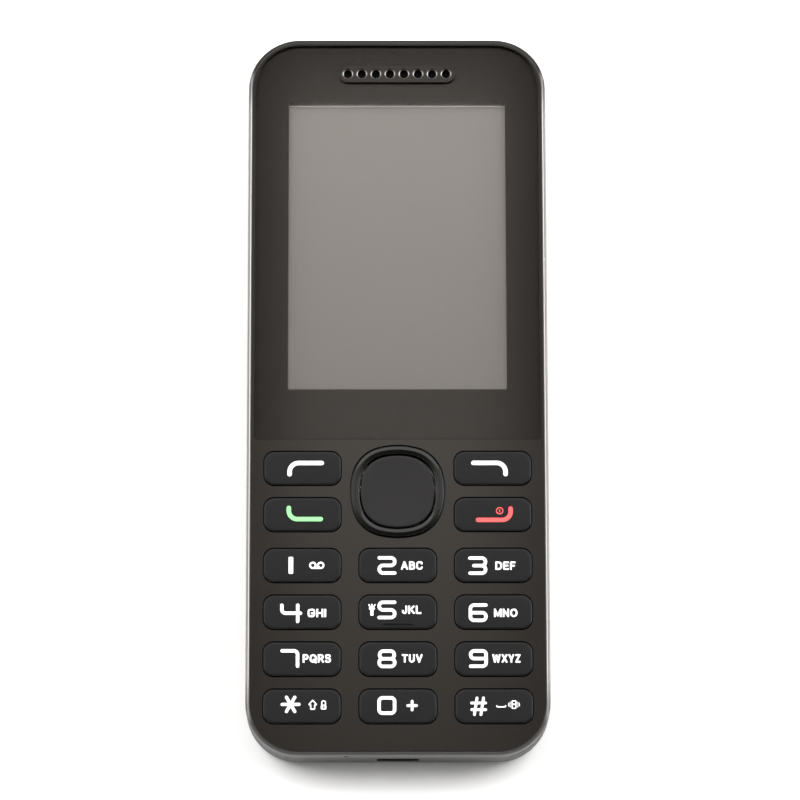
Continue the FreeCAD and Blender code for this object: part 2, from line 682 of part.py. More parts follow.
def slab(name, x_limits, y_limits, z_limits, radii):
    """A flat plate with rounded plan corners."""
    body = new_body(name)
    sketch = sketch_on(body, "outline", z_limits[0])
    rounded(sketch, x_limits, y_limits, radii)
    pad(body, sketch, z_limits[1] - z_limits[0])
    return body


def block(name, x_limits, y_limits, z_limits):
    """A box between pairs of limits."""
    box = doc.addObject("Part::Box", name)
    bind(box, "Length", as_size(x_limits[1]) - x_limits[0])
    bind(box, "Width", as_size(y_limits[1]) - y_limits[0])
    bind(box, "Height", as_size(z_limits[1]) - z_limits[0])
    place(box, x_limits[0], y_limits[0], z_limits[0])
    return box


TURNS = {
    "X": Rotation(Vector(0, 1, 0), 90),
    "Y": Rotation(Vector(1, 0, 0), -90),
    "Z": Rotation(),
}


def rod(name, start, radius, length, axis="Z"):
    """A cylinder from its start along one axis."""
    cylinder = doc.addObject("Part::Cylinder", name)
    cylinder.Placement = Placement(Vector(), TURNS[axis])
    bind(cylinder, "Radius", radius)
    bind(cylinder, "Height", length)
    place(cylinder, *start)
    return cylinder


def joined(name, shapes):
    """Several shapes fused into one object."""
    fused = doc.addObject("Part::MultiFuse", name)
    fused.Shapes = shapes
    return fused


def less(name, base, tool):
    """One shape with another taken out of it."""
    result = doc.addObject("Part::Cut", name)
    result.Base = base
    result.Tool = tool
    cuts_made.append(result)
    return result


# Front housing and band

def make_front_housing():
    body = new_body("front_housing")
    face = sketch_on(body, "face", plate_under)
    rounded(face, (-face_x, face_x), (-face_y, face_y), face_corner)
    pad(body, face, front_plate)
    dress(body, "Fillet", "face_edge", face_edge_radius, rim_of(body, body_depth))

    skirt = sketch_on(body, "skirt", skirt_low)
    rounded(skirt, (-skirt_x, skirt_x), (-skirt_y, skirt_y), skirt_corner)
    rounded(skirt, (-cavity_x, cavity_x), (-cavity_y, cavity_y), cavity_corner)
    pad(body, skirt, plate_under - skirt_low)

    relief = sketch_on(body, "keypad_relief", plate_under)
    rounded(relief, (-cavity_x, cavity_x), (-cavity_y, lens_low - seam_ledge),
            (cavity_corner, cavity_corner, 1, 1))
    pocket(body, relief, keypad_relief, upwards=True)

    lens_seat = sketch_on(body, "lens_seat", body_depth)
    rounded(lens_seat, (-lens_x - lens_gap, lens_x + lens_gap), (lens_low, lens_high + lens_gap),
            (lens_low_radius, lens_low_radius, lens_corner + lens_gap, lens_corner + lens_gap))
    pocket(body, lens_seat, body_depth - ledge_top)

    window = sketch_on(body, "window", ledge_top)
    rounded(window, (-window_width / 2 - window_relief, window_width / 2 + window_relief),
            (window_low - window_relief, window_high + window_relief), window_radius + window_relief)
    sound_slot = earpiece_hole + running_gap
    rounded(window, span(0, earpiece_span + earpiece_hole * 2), span(earpiece_middle, sound_slot * 2),
            earpiece_hole)
    pocket(body, window, ledge_top - plate_under)

    keys = sketch_on(body, "key_openings", body_depth)
    for x, y in key_places.values():
        rounded(keys, span(x, key_width + key_gap * 2), span(y, key_height + key_gap * 2),
                key_corner + key_gap)
    pocket(body, keys, body_depth - key_under)
    nav = sketch_on(body, "nav_opening", body_depth, middle=(0, nav_middle))
    cushion(nav, nav_half + nav_gap)
    pocket(body, nav, body_depth - key_under)

    bosses = sketch_on(body, "bosses", boss_low)
    for x, y in screw_places:
        circle(bosses, x, y, boss_radius)
    pad(body, bosses, key_under - boss_low)
    pilots = sketch_on(body, "pilots", boss_low)
    for x, y in screw_places:
        circle(pilots, x, y, screw_radius + running_gap)
    pocket(body, pilots, screw_length - shoulder_depth + part_gap, upwards=True)

    port = sketch_on(body, "microphone_port", half_y, "XZ_Plane")
    circle(port, microphone_x, microphone_height, microphone_hole)
    pocket(body, port, half_y - cavity_y + running_gap)
    return body


def make_side_frame():
    body = new_body("side_frame")
    band_top = body_depth - band_drop
    band = sketch_on(body, "band", skirt_low)
    rounded(band, (-half_x, half_x), (-half_y, half_y), corner_radius)
    pad(body, band, band_top - skirt_low)
    dress(body, "Fillet", "band_edge", band_edge_radius, rim_of(body, band_top))

    upper = sketch_on(body, "face_opening", body_depth)
    gap = running_gap
    rounded(upper, (-face_x - gap, face_x + gap), (-face_y - gap, face_y + gap), face_corner + gap)
    pocket(body, upper, front_plate)
    lower = sketch_on(body, "skirt_opening", plate_under)
    rounded(lower, (-skirt_x - gap, skirt_x + gap), (-skirt_y - gap, skirt_y + gap), skirt_corner + gap)
    pocket(body, lower, plate_under - skirt_low)

    port = sketch_on(body, "microphone_port", half_y, "XZ_Plane")
    circle(port, microphone_x, microphone_height, microphone_hole)
    pocket(body, port, skirt_inset + band_proud)
    return body


def make_lens():
    def lens_outline(sketch, inset=0):
        rounded(sketch, (-lens_x + inset, lens_x - inset), (lens_low + lens_gap + inset, lens_high - inset),
                (lens_low_radius, lens_low_radius, lens_corner - inset, lens_corner - inset))

    def pill(sketch, margin):
        height = earpiece_height + margin * 2
        rounded(sketch, span(0, earpiece_width + margin * 2), span(earpiece_middle, height),
                height / 2 - almost)

    def window(sketch, margin):
        rounded(sketch, span(0, window_width + margin * 2), (window_low - margin, window_high + margin),
                window_radius + margin)

    print_under = body_depth - lens_thickness - print_seat - print_thickness
    body = new_body("display_lens")
    face = sketch_on(body, "face", body_depth - lens_thickness)
    lens_outline(face)
    pill(face, earpiece_gap)
    pad(body, face, lens_thickness)
    dress(body, "Fillet", "edge", lens_edge_radius, rim_of(body, body_depth))

    body = new_body("lens_border_print")
    face = sketch_on(body, "face", print_under)
    lens_outline(face, print_inset)
    pill(face, earpiece_gap * 2)
    window(face, 0)
    pad(body, face, print_thickness)

    body = new_body("lens_adhesive")
    face = sketch_on(body, "face", ledge_top)
    lens_outline(face, print_inset * 2)
    pill(face, earpiece_gap * 3)
    window(face, window_relief)
    pad(body, face, adhesive_thickness - print_seat)

    mesh_top = ledge_top + earpiece_mesh_thickness
    body = new_body("earpiece_mesh")
    face = sketch_on(body, "face", ledge_top)
    pill(face, -earpiece_gap)
    pad(body, face, earpiece_mesh_thickness)

    grille_top = body_depth - earpiece_drop
    body = new_body("earpiece_grille")
    face = sketch_on(body, "face", mesh_top)
    pill(face, 0)
    for number in range(earpiece_hole_count):
        x = earpiece_pitch * (number - (earpiece_hole_count - 1) / 2)
        circle(face, x, earpiece_middle, earpiece_hole)
    pad(body, face, grille_top - mesh_top)
    largest = earpiece_hole.value * 2 + 0.1

    def is_hole_rim(edge):
        box = edge.BoundBox
        return is_level(edge, grille_top) and edge.isClosed() and max(box.XLength, box.YLength) < largest

    dress(body, "Chamfer", "funnels", earpiece_chamfer, is_hole_rim)


# Keys

def make_key(name, x, y):
    """A key cap with a flange that the housing holds and a post that presses its dome."""
    body = new_body(name)
    cap = sketch_on(body, "cap", flange_under)
    rounded(cap, span(x, key_width), span(y, key_height), key_corner)
    cap_top = body_depth + key_proud
    pad(body, cap, cap_top - flange_under)
    dress(body, "Fillet", "cap_edge", key_edge_radius, rim_of(body, cap_top))
    flange = sketch_on(body, "flange", flange_under)
    rounded(flange, span(x, key_width + flange_margin * 2), span(y, key_height + flange_margin * 2),
            key_corner + flange_margin)
    pad(body, flange, flange_thickness)
    post = sketch_on(body, "post", plunger_under)
    circle(post, x, y, plunger_radius)
    pad(body, post, flange_under - plunger_under)
    if name == "key_5":
        bar = sketch_on(body, "tactile_bar", flange_top)
        bar_middle = y - key_height / 2 + tactile_edge
        rounded(bar, span(x, tactile_length), span(bar_middle, tactile_width), tactile_width / 2 - almost)
        pad(body, bar, cap_top + tactile_height - flange_top)


def make_nav():
    ring_under = key_under - nav_flange_drop - flange_thickness
    crest = body_depth + nav_proud
    body = new_body("nav_ring")
    bind(body, "Placement.Base.y", nav_middle)
    ridge = sketch_on(body, "ridge", ring_under)
    cushion(ridge, nav_half)
    cushion(ridge, nav_inner)
    pad(body, ridge, crest - ring_under)
    dress(body, "Fillet", "crest", nav_crest_radius, lambda edge: is_level(edge, crest))
    flange = sketch_on(body, "flange", ring_under)
    cushion(flange, nav_half + flange_margin)
    cushion(flange, nav_inner)
    pad(body, flange, flange_thickness)

    pad_under = ring_under - nav_pad_gap - nav_pad_thickness
    body = new_body("nav_ring_pad")
    bind(body, "Placement.Base.y", nav_middle)
    frame = sketch_on(body, "frame", pad_under)
    cushion(frame, nav_half + flange_margin)
    cushion(frame, nav_inner)
    pad(body, frame, nav_pad_thickness)
    nubs = sketch_on(body, "nubs", pad_under - nav_nub_height)
    for x, y in ((-nav_reach, 0), (nav_reach, 0), (0, -nav_reach), (0, nav_reach)):
        circle(nubs, x, y, nav_nub_radius)
    pad(body, nubs, nav_nub_height)

    body = new_body("ok_key")
    bind(body, "Placement.Base.y", nav_middle)
    cap_top = body_depth + ok_proud
    cap = sketch_on(body, "cap", ring_under)
    cushion(cap, nav_inner - ok_gap)
    pad(body, cap, cap_top - ring_under)
    dress(body, "Fillet", "cap_edge", key_edge_radius, rim_of(body, cap_top))
    post = sketch_on(body, "post", plunger_under)
    circle(post, 0, 0, plunger_radius)
    pad(body, post, ring_under - plunger_under)


# Keypad layers and display

def make_keypad_layers():
    mat_x = board_x - mat_inset
    mat_low = board_low + mat_inset
    mat_corner = as_size(2)
    body = new_body("keypad_mat")
    plan = sketch_on(body, "outline", film_top)
    rounded(plan, (-mat_x, mat_x), (mat_low, keypad_top), mat_corner)
    pad(body, plan, mat_top - film_top)
    hollow = sketch_on(body, "hollow", film_top)
    rounded(hollow, (-mat_x + mat_rim, mat_x - mat_rim), (mat_low + mat_rim, keypad_top - mat_rim),
            mat_corner / 2)
    pocket(body, hollow, mat_top - film_top - mat_skin, upwards=True)
    holes = sketch_on(body, "post_holes", mat_top)
    for x, y in key_places.values():
        circle(holes, x, y, plunger_radius + mat_hole_gap)
    pocket(body, holes, mat_top - film_top)
    nav_hole = sketch_on(body, "nav_hole", mat_top, middle=(0, nav_middle))
    cushion(nav_hole, nav_half + flange_margin + part_gap)
    pocket(body, nav_hole, mat_top - film_top)

    body = new_body("dome_film")
    film = sketch_on(body, "outline", board_top)
    rounded(film, (-mat_x, mat_x), (mat_low, keypad_top), mat_corner)
    for x, y in list(key_places.values()) + nav_dome_places:
        circle(film, x, y, dome_radius + dome_gap)
    for x, y in lamp_places:
        rounded(film, span(x, lamp_width + dome_gap * 2), span(y, lamp_length + dome_gap * 2), dome_gap)
    pad(body, film, film_thickness)

    make_snap_domes()

    lamps = []
    for number, (x, y) in enumerate(lamp_places):
        lamps.append(block(f"lamp_{number}", span(x, lamp_width), span(y, lamp_length),
                           (board_top, board_top + lamp_height)))
    keep("keypad_leds", joined("keypad_leds", lamps))


def make_snap_domes():
    """Thin spherical caps, one under each key and five under the navigation keys."""
    rise = dome_height.value
    wall = dome_wall.value
    reach = dome_radius.value
    ball = (reach * reach + rise * rise) / (2 * rise)
    centre = Vector(0, 0, rise - ball)
    outer = Part.makeSphere(ball, centre)
    inner = Part.makeSphere(ball - wall, centre)
    upper_side = Part.makeBox(reach * 4, reach * 4, rise * 2, Vector(-reach * 2, -reach * 2, 0))
    dome = outer.cut(inner).common(upper_side)
    domes = []
    for x, y in list(key_places.values()) + nav_dome_places:
        copy = dome.copy()
        copy.translate(Vector(x.value, y.value, board_top.value))
        domes.append(copy)
    feature = doc.addObject("Part::Feature", "snap_domes")
    feature.Shape = Part.makeCompound(domes)
    keep("snap_domes", feature)


def make_display():
    tray_x = window_width / 2 + display_margin
    tray_under = board_top + running_gap
    tray_top = tray_under + display_depth
    panel_under = tray_top - panel_depth
    corner = tray_wall * 2
    body = slab("lcd_backlight_frame", (-tray_x, tray_x), (display_low, display_high), (tray_under, tray_top),
                corner)
    seat = sketch_on(body, "seat", tray_top)
    rounded(seat, (-tray_x + tray_wall, tray_x - tray_wall),
            (display_low + tray_wall, display_high - tray_wall), corner - tray_wall)
    pocket(body, seat, panel_depth)
    inset = tray_wall + running_gap
    slab("lcd_panel", (-tray_x + inset, tray_x - inset), (display_low + inset, display_high - inset),
         (panel_under, tray_top - running_gap), corner - inset)

    body = new_body("lcd_flex")
    ribbon = sketch_on(body, "ribbon", -ribbon_width / 2, "YZ_Plane")
    near = display_low - running_gap
    bend = near - ribbon_thickness
    end = keypad_top + part_gap
    ribbon_high = panel_under + panel_depth / 2
    outline(ribbon, [
        (near, tray_under), (near, ribbon_high), (bend, ribbon_high),
        (bend, tray_under + ribbon_thickness), (end, tray_under + ribbon_thickness), (end, tray_under),
    ])
    pad(body, ribbon, ribbon_width)


# Rear cover, middle housing, battery

def speaker_hole_places():
    """Three rows of sound holes over the loudspeaker, the middle one moved by half a pitch."""
    places = []
    for row, count in ((-1, 6), (0, 7), (1, 6)):
        for number in range(count):
            x = speaker_x + speaker_pitch * (number - (count - 1) / 2)
            places.append((x, speaker_y + speaker_row_pitch * row))
    return places


def make_rear_cover():
    body = new_body("rear_cover")
    shell = sketch_on(body, "shell", 0)
    rounded(shell, (-half_x, half_x), (-half_y, half_y), corner_radius)
    pad(body, shell, seam_height)
    dress(body, "Fillet", "back_edge", back_edge_radius, lambda edge: is_level(edge, as_size(0)))
    hollow = sketch_on(body, "hollow", seam_height)
    rounded(hollow, (-cover_x, cover_x), (-cover_y, cover_y), cover_corner)
    pocket(body, hollow, seam_height - cover_floor)
    dress(body, "Fillet", "inner_edge", back_edge_radius - cover_wall,
          lambda edge: is_level(edge, cover_floor))

    ring_outside = camera_window_radius + running_gap + camera_ring_wall
    holes = sketch_on(body, "back_holes", cover_floor)
    circle(holes, camera_x, camera_y, ring_outside + running_gap)
    circle(holes, torch_x, camera_y, torch_radius + running_gap)
    for x, y in speaker_hole_places():
        circle(holes, x, y, speaker_hole)
    pocket(body, holes, cover_floor)

    usb = sketch_on(body, "usb_opening", half_y, "XZ_Plane")
    rounded(usb, span(0, usb_width), span(usb_middle, usb_height), usb_height / 4)
    pocket(body, usb, cover_wall + part_gap)
    jack = sketch_on(body, "jack_opening", -half_y, "XZ_Plane")
    circle(jack, jack_x, jack_height, jack_bore + jack_window_gap)
    pocket(body, jack, cover_wall + part_gap / 2, upwards=True)
    pry = sketch_on(body, "pry_slot", seam_height)
    pry_x = half_x - pry_side
    pry_y = -half_y + pry_up
    pry_right, pry_low = half_x + past, -half_y - past
    outline(pry, [(pry_x, pry_low), (pry_right, pry_low), (pry_right, pry_y), (pry_x, pry_y)])
    pocket(body, pry, pry_height)

    ring = less("camera_ring",
                rod("ring_outside", (camera_x, camera_y, 0), ring_outside, cover_floor),
                rod("ring_inside", (camera_x, camera_y, -past), camera_window_radius + running_gap,
                    cover_floor + past * 2))
    keep("camera_ring", ring)
    window_back = cover_floor - part_gap - camera_window_thickness
    keep("camera_window", rod("camera_window", (camera_x, camera_y, window_back), camera_window_radius,
                              camera_window_thickness))
    keep("torch_lens", rod("torch_lens", (torch_x, camera_y, running_gap), torch_radius,
                           cover_floor - running_gap))


def make_middle_housing():
    body = new_body("middle_housing")
    shell = sketch_on(body, "shell", housing_back)
    rounded(shell, (-housing_x, housing_x), (-housing_y, housing_y), housing_corner)
    pad(body, shell, housing_top - housing_back)
    dress(body, "Fillet", "back_edge", back_edge_radius - cover_wall,
          lambda edge: is_level(edge, housing_back))

    well = sketch_on(body, "board_well", housing_top)
    rounded(well, (-well_x, well_x), (-well_y, well_y), well_corner)
    pocket(body, well, housing_top - web_top)
    ends = sketch_on(body, "end_hollows", web_top)
    rounded(ends, (-well_x, well_x), (bay_high + housing_wall, well_y), (1, 1, well_corner, well_corner))
    rounded(ends, (-well_x, well_x), (-well_y, bay_low - housing_wall), (well_corner, well_corner, 1, 1))
    pocket(body, ends, web_top - housing_inner_back)

    columns = sketch_on(body, "screw_columns", housing_inner_back)
    for x, y in screw_places:
        circle(columns, x, y, column_radius)
    pad(body, columns, column_top - housing_inner_back)
    boss_holes = sketch_on(body, "boss_clearance", housing_top)
    for x, y in screw_places:
        circle(boss_holes, x, y, boss_radius + running_gap * 2)
    pocket(body, boss_holes, housing_top - column_top)
    head_holes = sketch_on(body, "head_wells", housing_back)
    for x, y in screw_places:
        circle(head_holes, x, y, screw_head_radius + screw_head_gap)
    pocket(body, head_holes, shoulder_height - housing_back, upwards=True)
    shank_holes = sketch_on(body, "shank_holes", column_top + running_gap)
    for x, y in screw_places:
        circle(shank_holes, x, y, screw_radius + running_gap * 2)
    pocket(body, shank_holes, shoulder_depth + running_gap * 2)

    bay = sketch_on(body, "battery_bay", housing_back)
    rounded(bay, (-bay_x, bay_x), (bay_low, bay_high), battery_gap + 1)
    pocket(body, bay, web_under - housing_back, upwards=True)

    windows = sketch_on(body, "holder_windows", web_top)
    for card_x, card_width, grip in ((sim_x, sim_width, sim_grip), (memory_x, memory_width, memory_grip)):
        holder = card_width + card_gap * 2 + holder_wall * 2
        low, high = card_stop_y - grip, card_stop_y + holder_wall
        rounded(windows, span(card_x, holder + part_gap), (low - part_gap / 2, high + part_gap / 2),
                holder_wall / 2)
    pocket(body, windows, housing_web)
    contacts = sketch_on(body, "contact_window", -(bay_high + housing_wall + part_gap), "XZ_Plane")
    contacts_low = battery_low + contact_rise - part_gap
    rounded(contacts, span(0, (connector_x + part_gap) * 2), (contacts_low, board_under), part_gap)
    pocket(body, contacts, housing_wall + part_gap * 2, upwards=True)

    holes = sketch_on(body, "back_holes", housing_inner_back)
    circle(holes, camera_x, camera_y, camera_barrel + part_gap * 2)
    circle(holes, torch_x, camera_y, torch_radius + part_gap)
    for x, y in speaker_hole_places():
        circle(holes, x, y, speaker_hole)
    pocket(body, holes, housing_floor)

    jack = sketch_on(body, "jack_seat", housing_top)
    jack_low = housing_y - jack_body_length - part_gap
    rounded(jack, span(jack_x, jack_body_width + part_gap), (jack_low, half_y), part_gap)
    pocket(body, jack, housing_top - jack_body_floor + running_gap)
    usb = sketch_on(body, "usb_notch", housing_top)
    usb_outside = usb_width + usb_wall + part_gap
    rounded(usb, span(0, usb_outside), (-half_y, -well_y + part_gap), part_gap)
    pocket(body, usb, housing_top - usb_middle + usb_height / 2 + part_gap)


def make_screws():
    """Six screws, each a shank under a head, driven from behind."""
    shapes = []
    for number, (x, y) in enumerate(screw_places):
        head_back = shoulder_height - screw_head_height
        shapes.append(rod(f"screw_head_{number}", (x, y, head_back), screw_head_radius, screw_head_height))
        shapes.append(rod(f"screw_shank_{number}", (x, y, shoulder_height), screw_radius, screw_length))
    keep("housing_screws", joined("housing_screws", shapes))


def make_battery():
    length_limits = (bay_low + battery_gap, bay_high - battery_gap)
    body = slab("battery", (-battery_x, battery_x), length_limits, (battery_low, battery_high),
                battery_edge_radius * 2)
    dress(body, "Fillet", "edges", battery_edge_radius,
          lambda edge: is_level(edge, battery_low) or is_level(edge, battery_high))
    contact_low = battery_low + contact_rise
    plate_front = length_limits[1] + contact_thickness
    plates = []
    for number in (-1, 0, 1):
        x = span(contact_step * number, contact_width)
        z = (contact_low, battery_high - battery_edge_radius)
        plates.append(block(f"terminal_{number + 1}", x, (length_limits[1], plate_front), z))
    keep("battery_terminals", joined("battery_terminals", plates))

    connector_y = bay_high + running_gap
    parts = [block("connector_block", (-connector_x, connector_x),
                   (connector_y, connector_y + connector_depth), (contact_low, board_under))]
    for number in (-1, 0, 1):
        x = span(contact_step * number, spring_width)
        z = span((contact_low + battery_high) / 2 - battery_edge_radius / 2, spring_height)
        parts.append(block(f"spring_{number + 1}", x, (plate_front + running_gap, connector_y + past), z))
    keep("battery_connector", joined("battery_connector", parts))


def make_cards():
    """Subscriber card and memory card, each in a sheet steel holder that hangs from the board."""
    for holder_name, card_name, x, width, length, depth, grip, notch in (
        ("sim_holder", "sim_card", sim_x, sim_width, sim_length, sim_depth, sim_grip, sim_notch),
        ("memory_card_slot", "memory_card", memory_x, memory_width, memory_length, memory_depth, memory_grip,
         memory_notch),
    ):
        card_under = card_level - depth
        slot_under = card_under - card_gap / 2
        slot_width = width + card_gap * 2
        slot_low = card_stop_y - grip
        outside = block(f"{holder_name}_outside", span(x, slot_width + holder_wall * 2),
                        (slot_low, card_stop_y + holder_wall), (slot_under - holder_lid, board_under))
        inside = block(f"{holder_name}_inside", span(x, slot_width),
                       (slot_low - past, card_stop_y + card_gap), (slot_under, card_level + card_gap / 2))
        keep(holder_name, less(holder_name, outside, inside))
        body = new_body(card_name)
        face = sketch_on(body, "face", card_under)
        left, right = span(x, width)
        low, high = card_stop_y - length, card_stop_y
        outline(face, [(left, low), (right, low), (right, high - notch), (right - notch, high), (left, high)])
        pad(body, face, depth)


# Board and what stands on it

def make_board():
    corner = as_size(2)
    body = new_body("main_board")
    plan = sketch_on(body, "plan", board_under)
    rounded(plan, (-board_x, board_x), (board_low, board_high), corner)
    pad(body, plan, board_thickness)
    tab = sketch_on(body, "tab", board_under)
    rounded(tab, (-board_tab_x, board_tab_x), (board_tab_low, board_low + corner), corner / 4)
    pad(body, tab, board_thickness)

    upper_right = speaker_x - speaker_width / 2 - 1
    upper_low = bay_high + connector_depth + 1
    lower_high = bay_low - can_gap
    lower_right = board_x - can_gap
    depth = (board_under - can_height, board_under)
    upper = block("can_upper", (-board_x + can_gap, upper_right), (upper_low, upper_low + can_length), depth)
    lower = block("can_lower", (lower_right - can_lower_width, lower_right),
                  (lower_high - can_length, lower_high), depth)
    keep("shield_cans", joined("shield_cans", [upper, lower]))


def make_sockets():
    def usb_profile(sketch, half, low, high, step):
        outline(sketch, [(-half + step, low), (half - step, low), (half, low + step), (half, high),
                         (-half, high), (-half, low + step)])

    mouth = housing_y
    shell_half = (usb_width + usb_wall) / 2
    shell_low = usb_middle - usb_height / 2
    tongue_low = shell_low + usb_height / 2 + running_gap
    body = new_body("micro_usb_socket")
    shell = sketch_on(body, "shell", mouth - usb_length, "XZ_Plane")
    usb_profile(shell, shell_half, shell_low, board_under, usb_step)
    pad(body, shell, usb_length)
    cavity = sketch_on(body, "cavity", mouth, "XZ_Plane")
    usb_profile(cavity, shell_half - usb_wall, shell_low + usb_wall, board_under - usb_wall, usb_step)
    pocket(body, cavity, usb_length - usb_wall)
    tongue = sketch_on(body, "tongue", mouth - usb_length, "XZ_Plane")
    rounded(tongue, span(0, usb_tongue_width), (tongue_low, tongue_low + usb_tongue), usb_tongue / 6)
    pad(body, tongue, usb_length - usb_tongue)

    body = new_body("headphone_jack")
    shell = sketch_on(body, "shell", -housing_y, "XZ_Plane")
    rounded(shell, span(jack_x, jack_body_width), (jack_body_floor, board_under), jack_wall)
    pad(body, shell, jack_body_length)
    bore = sketch_on(body, "bore", -housing_y, "XZ_Plane")
    circle(bore, jack_x, jack_height, jack_bore)
    pocket(body, bore, jack_bore_length, upwards=True)

    front = -cavity_y + part_gap
    body = slab("microphone", span(microphone_x, microphone_width), (front, board_low - part_gap),
                (board_top, microphone_height + microphone_rise), part_gap)
    port = sketch_on(body, "port", -front, "XZ_Plane")
    circle(port, microphone_x, microphone_height, microphone_hole)
    pocket(body, port, microphone_hole * 2)


def make_small_parts():
    mesh_top = housing_inner_back + speaker_mesh_thickness
    slab("loudspeaker_mesh", span(speaker_x, speaker_width - speaker_rim),
         span(speaker_y, speaker_length - speaker_rim), (housing_inner_back, mesh_top), speaker_rim / 2)
    body = slab("loudspeaker", span(speaker_x, speaker_width), span(speaker_y, speaker_length),
                (mesh_top, mesh_top + speaker_depth), speaker_rim * 1.5)
    cone = sketch_on(body, "cone", mesh_top)
    rounded(cone, span(speaker_x, speaker_width - speaker_rim * 2),
            span(speaker_y, speaker_length - speaker_rim * 2), speaker_rim * 1.5)
    pocket(body, cone, speaker_cone_depth, upwards=True)

    receiver_top = plate_under - running_gap * 2
    body = slab("earpiece_receiver", span(0, receiver_width), span(earpiece_middle, receiver_length),
                (board_top, receiver_top), receiver_mouth / 2)
    mouth = sketch_on(body, "mouth", receiver_top)
    rounded(mouth, span(0, receiver_width - receiver_mouth * 3), span(earpiece_middle, receiver_mouth),
            receiver_mouth / 2 - almost)
    pocket(body, mouth, receiver_mouth / 3)

    body = slab("camera_module", span(camera_x, camera_size), span(camera_y, camera_size),
                (camera_low, board_under), camera_size / 12)
    barrel_back = cover_floor + camera_barrel_gap
    barrel = sketch_on(body, "barrel", barrel_back)
    circle(barrel, camera_x, camera_y, camera_barrel)
    pad(body, barrel, camera_low - barrel_back)
    pupil = sketch_on(body, "pupil", barrel_back)
    circle(pupil, camera_x, camera_y, camera_pupil)
    pocket(body, pupil, camera_pupil / 2, upwards=True)

    keep("torch_led", block("torch_led", span(torch_x, torch_led_size), span(camera_y, torch_led_size),
                            (board_under - torch_led_height, board_under)))
    sheet_right = well_x - aerial_side
    sheet_low = -well_y + aerial_up
    leg_x = sheet_right - aerial_width / 2
    leg_y = sheet_low + aerial_length - aerial_leg * 1.5
    aerial_sheet = block("aerial_sheet", (sheet_right - aerial_width, sheet_right),
                         (sheet_low, sheet_low + aerial_length),
                         (housing_inner_back, housing_inner_back + aerial_thickness))
    leg = block("aerial_leg", span(leg_x, aerial_leg), span(leg_y, aerial_leg),
                (housing_inner_back, board_under))
    keep("antenna_element", joined("antenna_element", [aerial_sheet, leg]))

    weight_from = motor_start + motor_length + weight_start
    can = rod("motor_can", (motor_start, motor_y, motor_height), motor_radius, motor_length, "X")
    shaft_length = motor_length / 2 + weight_start + weight_length + shaft_end
    shaft_from = motor_start + motor_length / 2
    shaft = rod("motor_shaft", (shaft_from, motor_y, motor_height), shaft_radius, shaft_length, "X")
    keep("vibration_motor", joined("vibration_motor", [can, shaft]))
    cut_from = weight_from - past
    cut_length = weight_length + past * 2
    drum = rod("weight_drum", (weight_from, motor_y, motor_height), motor_radius, weight_length, "X")
    bore = rod("weight_bore", (cut_from, motor_y, motor_height), shaft_radius + shaft_gap, cut_length, "X")
    bite = block("weight_bite", (cut_from, cut_from + cut_length), span(motor_y, (motor_radius + past) * 2),
                 (motor_height + shaft_radius + weight_cover, motor_height + motor_radius + past))
    keep("eccentric_weight", less("eccentric_weight", drum, joined("weight_tools", [bore, bite])))


def check_and_write():
    """Stop on any failed object or empty cut, then write one file for each sub-part."""
    doc.recompute()
    for thing in doc.Objects:
        if "Invalid" in thing.State or "Error" in thing.State:
            raise RuntimeError(f"{thing.Name} is {thing.State}")
    for cut in cuts_made:
        before = cut.Base.Shape if cut.isDerivedFrom("Part::Cut") else cut.BaseFeature.Shape
        if before.Volume - cut.Shape.Volume < 1e-6:
            raise RuntimeError(f"{cut.Name} removes nothing")
    os.makedirs("parts", exist_ok=True)
    for sub_part in sub_parts:
        if sub_part.Shape.isNull() or not sub_part.Shape.isValid():
            raise RuntimeError(f"{sub_part.Label} has no valid shape")
        sub_part.Shape.exportStep(f"parts/{sub_part.Label}.step")
    print(len(sub_parts), "sub-parts written")


doc.recompute()
make_front_housing()
make_side_frame()
make_lens()
for key_name, (key_x, key_y) in key_places.items():
    make_key(key_name, key_x, key_y)
make_nav()
make_keypad_layers()
make_display()
make_rear_cover()
make_middle_housing()
make_screws()
make_battery()
make_cards()
make_board()
make_sockets()
make_small_parts()
check_and_write()
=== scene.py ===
"""Looks of a bar-shaped phone with a keypad, made around its fixed frame.

The frame holds every part at its real size. This file gives each part its finish, and makes anew the
parts whose shape has more to show: keys, navigation ring, screws and torch lens. It adds the legends, the
screen's film, the rims of the sound holes, the inside of the camera and the contacts.
"""

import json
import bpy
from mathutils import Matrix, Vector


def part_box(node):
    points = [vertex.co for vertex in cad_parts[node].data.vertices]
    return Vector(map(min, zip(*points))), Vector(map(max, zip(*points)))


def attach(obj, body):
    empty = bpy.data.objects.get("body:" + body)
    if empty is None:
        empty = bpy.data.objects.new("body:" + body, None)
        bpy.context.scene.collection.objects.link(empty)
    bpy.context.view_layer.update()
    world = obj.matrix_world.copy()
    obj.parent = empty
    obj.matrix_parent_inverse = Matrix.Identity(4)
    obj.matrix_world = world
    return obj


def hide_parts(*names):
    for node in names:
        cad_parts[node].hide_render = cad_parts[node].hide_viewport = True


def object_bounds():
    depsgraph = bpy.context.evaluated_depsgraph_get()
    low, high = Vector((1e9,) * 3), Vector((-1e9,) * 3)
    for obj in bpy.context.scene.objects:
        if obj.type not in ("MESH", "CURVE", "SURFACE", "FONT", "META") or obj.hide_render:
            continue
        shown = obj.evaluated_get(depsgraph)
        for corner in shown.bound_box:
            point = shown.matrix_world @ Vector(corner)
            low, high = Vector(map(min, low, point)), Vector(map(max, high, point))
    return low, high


bl_info = {
    "name": "Keypad phone",
    "version": (1, 0, 0),
    "blender": (4, 5, 0),
    "location": "View3D > Sidebar > Phone",
    "description": "Makes the finishes, keys, legends and fine parts of a keypad phone on its frame",
    "category": "Add Mesh",
}

from math import cos, pi, radians, sin

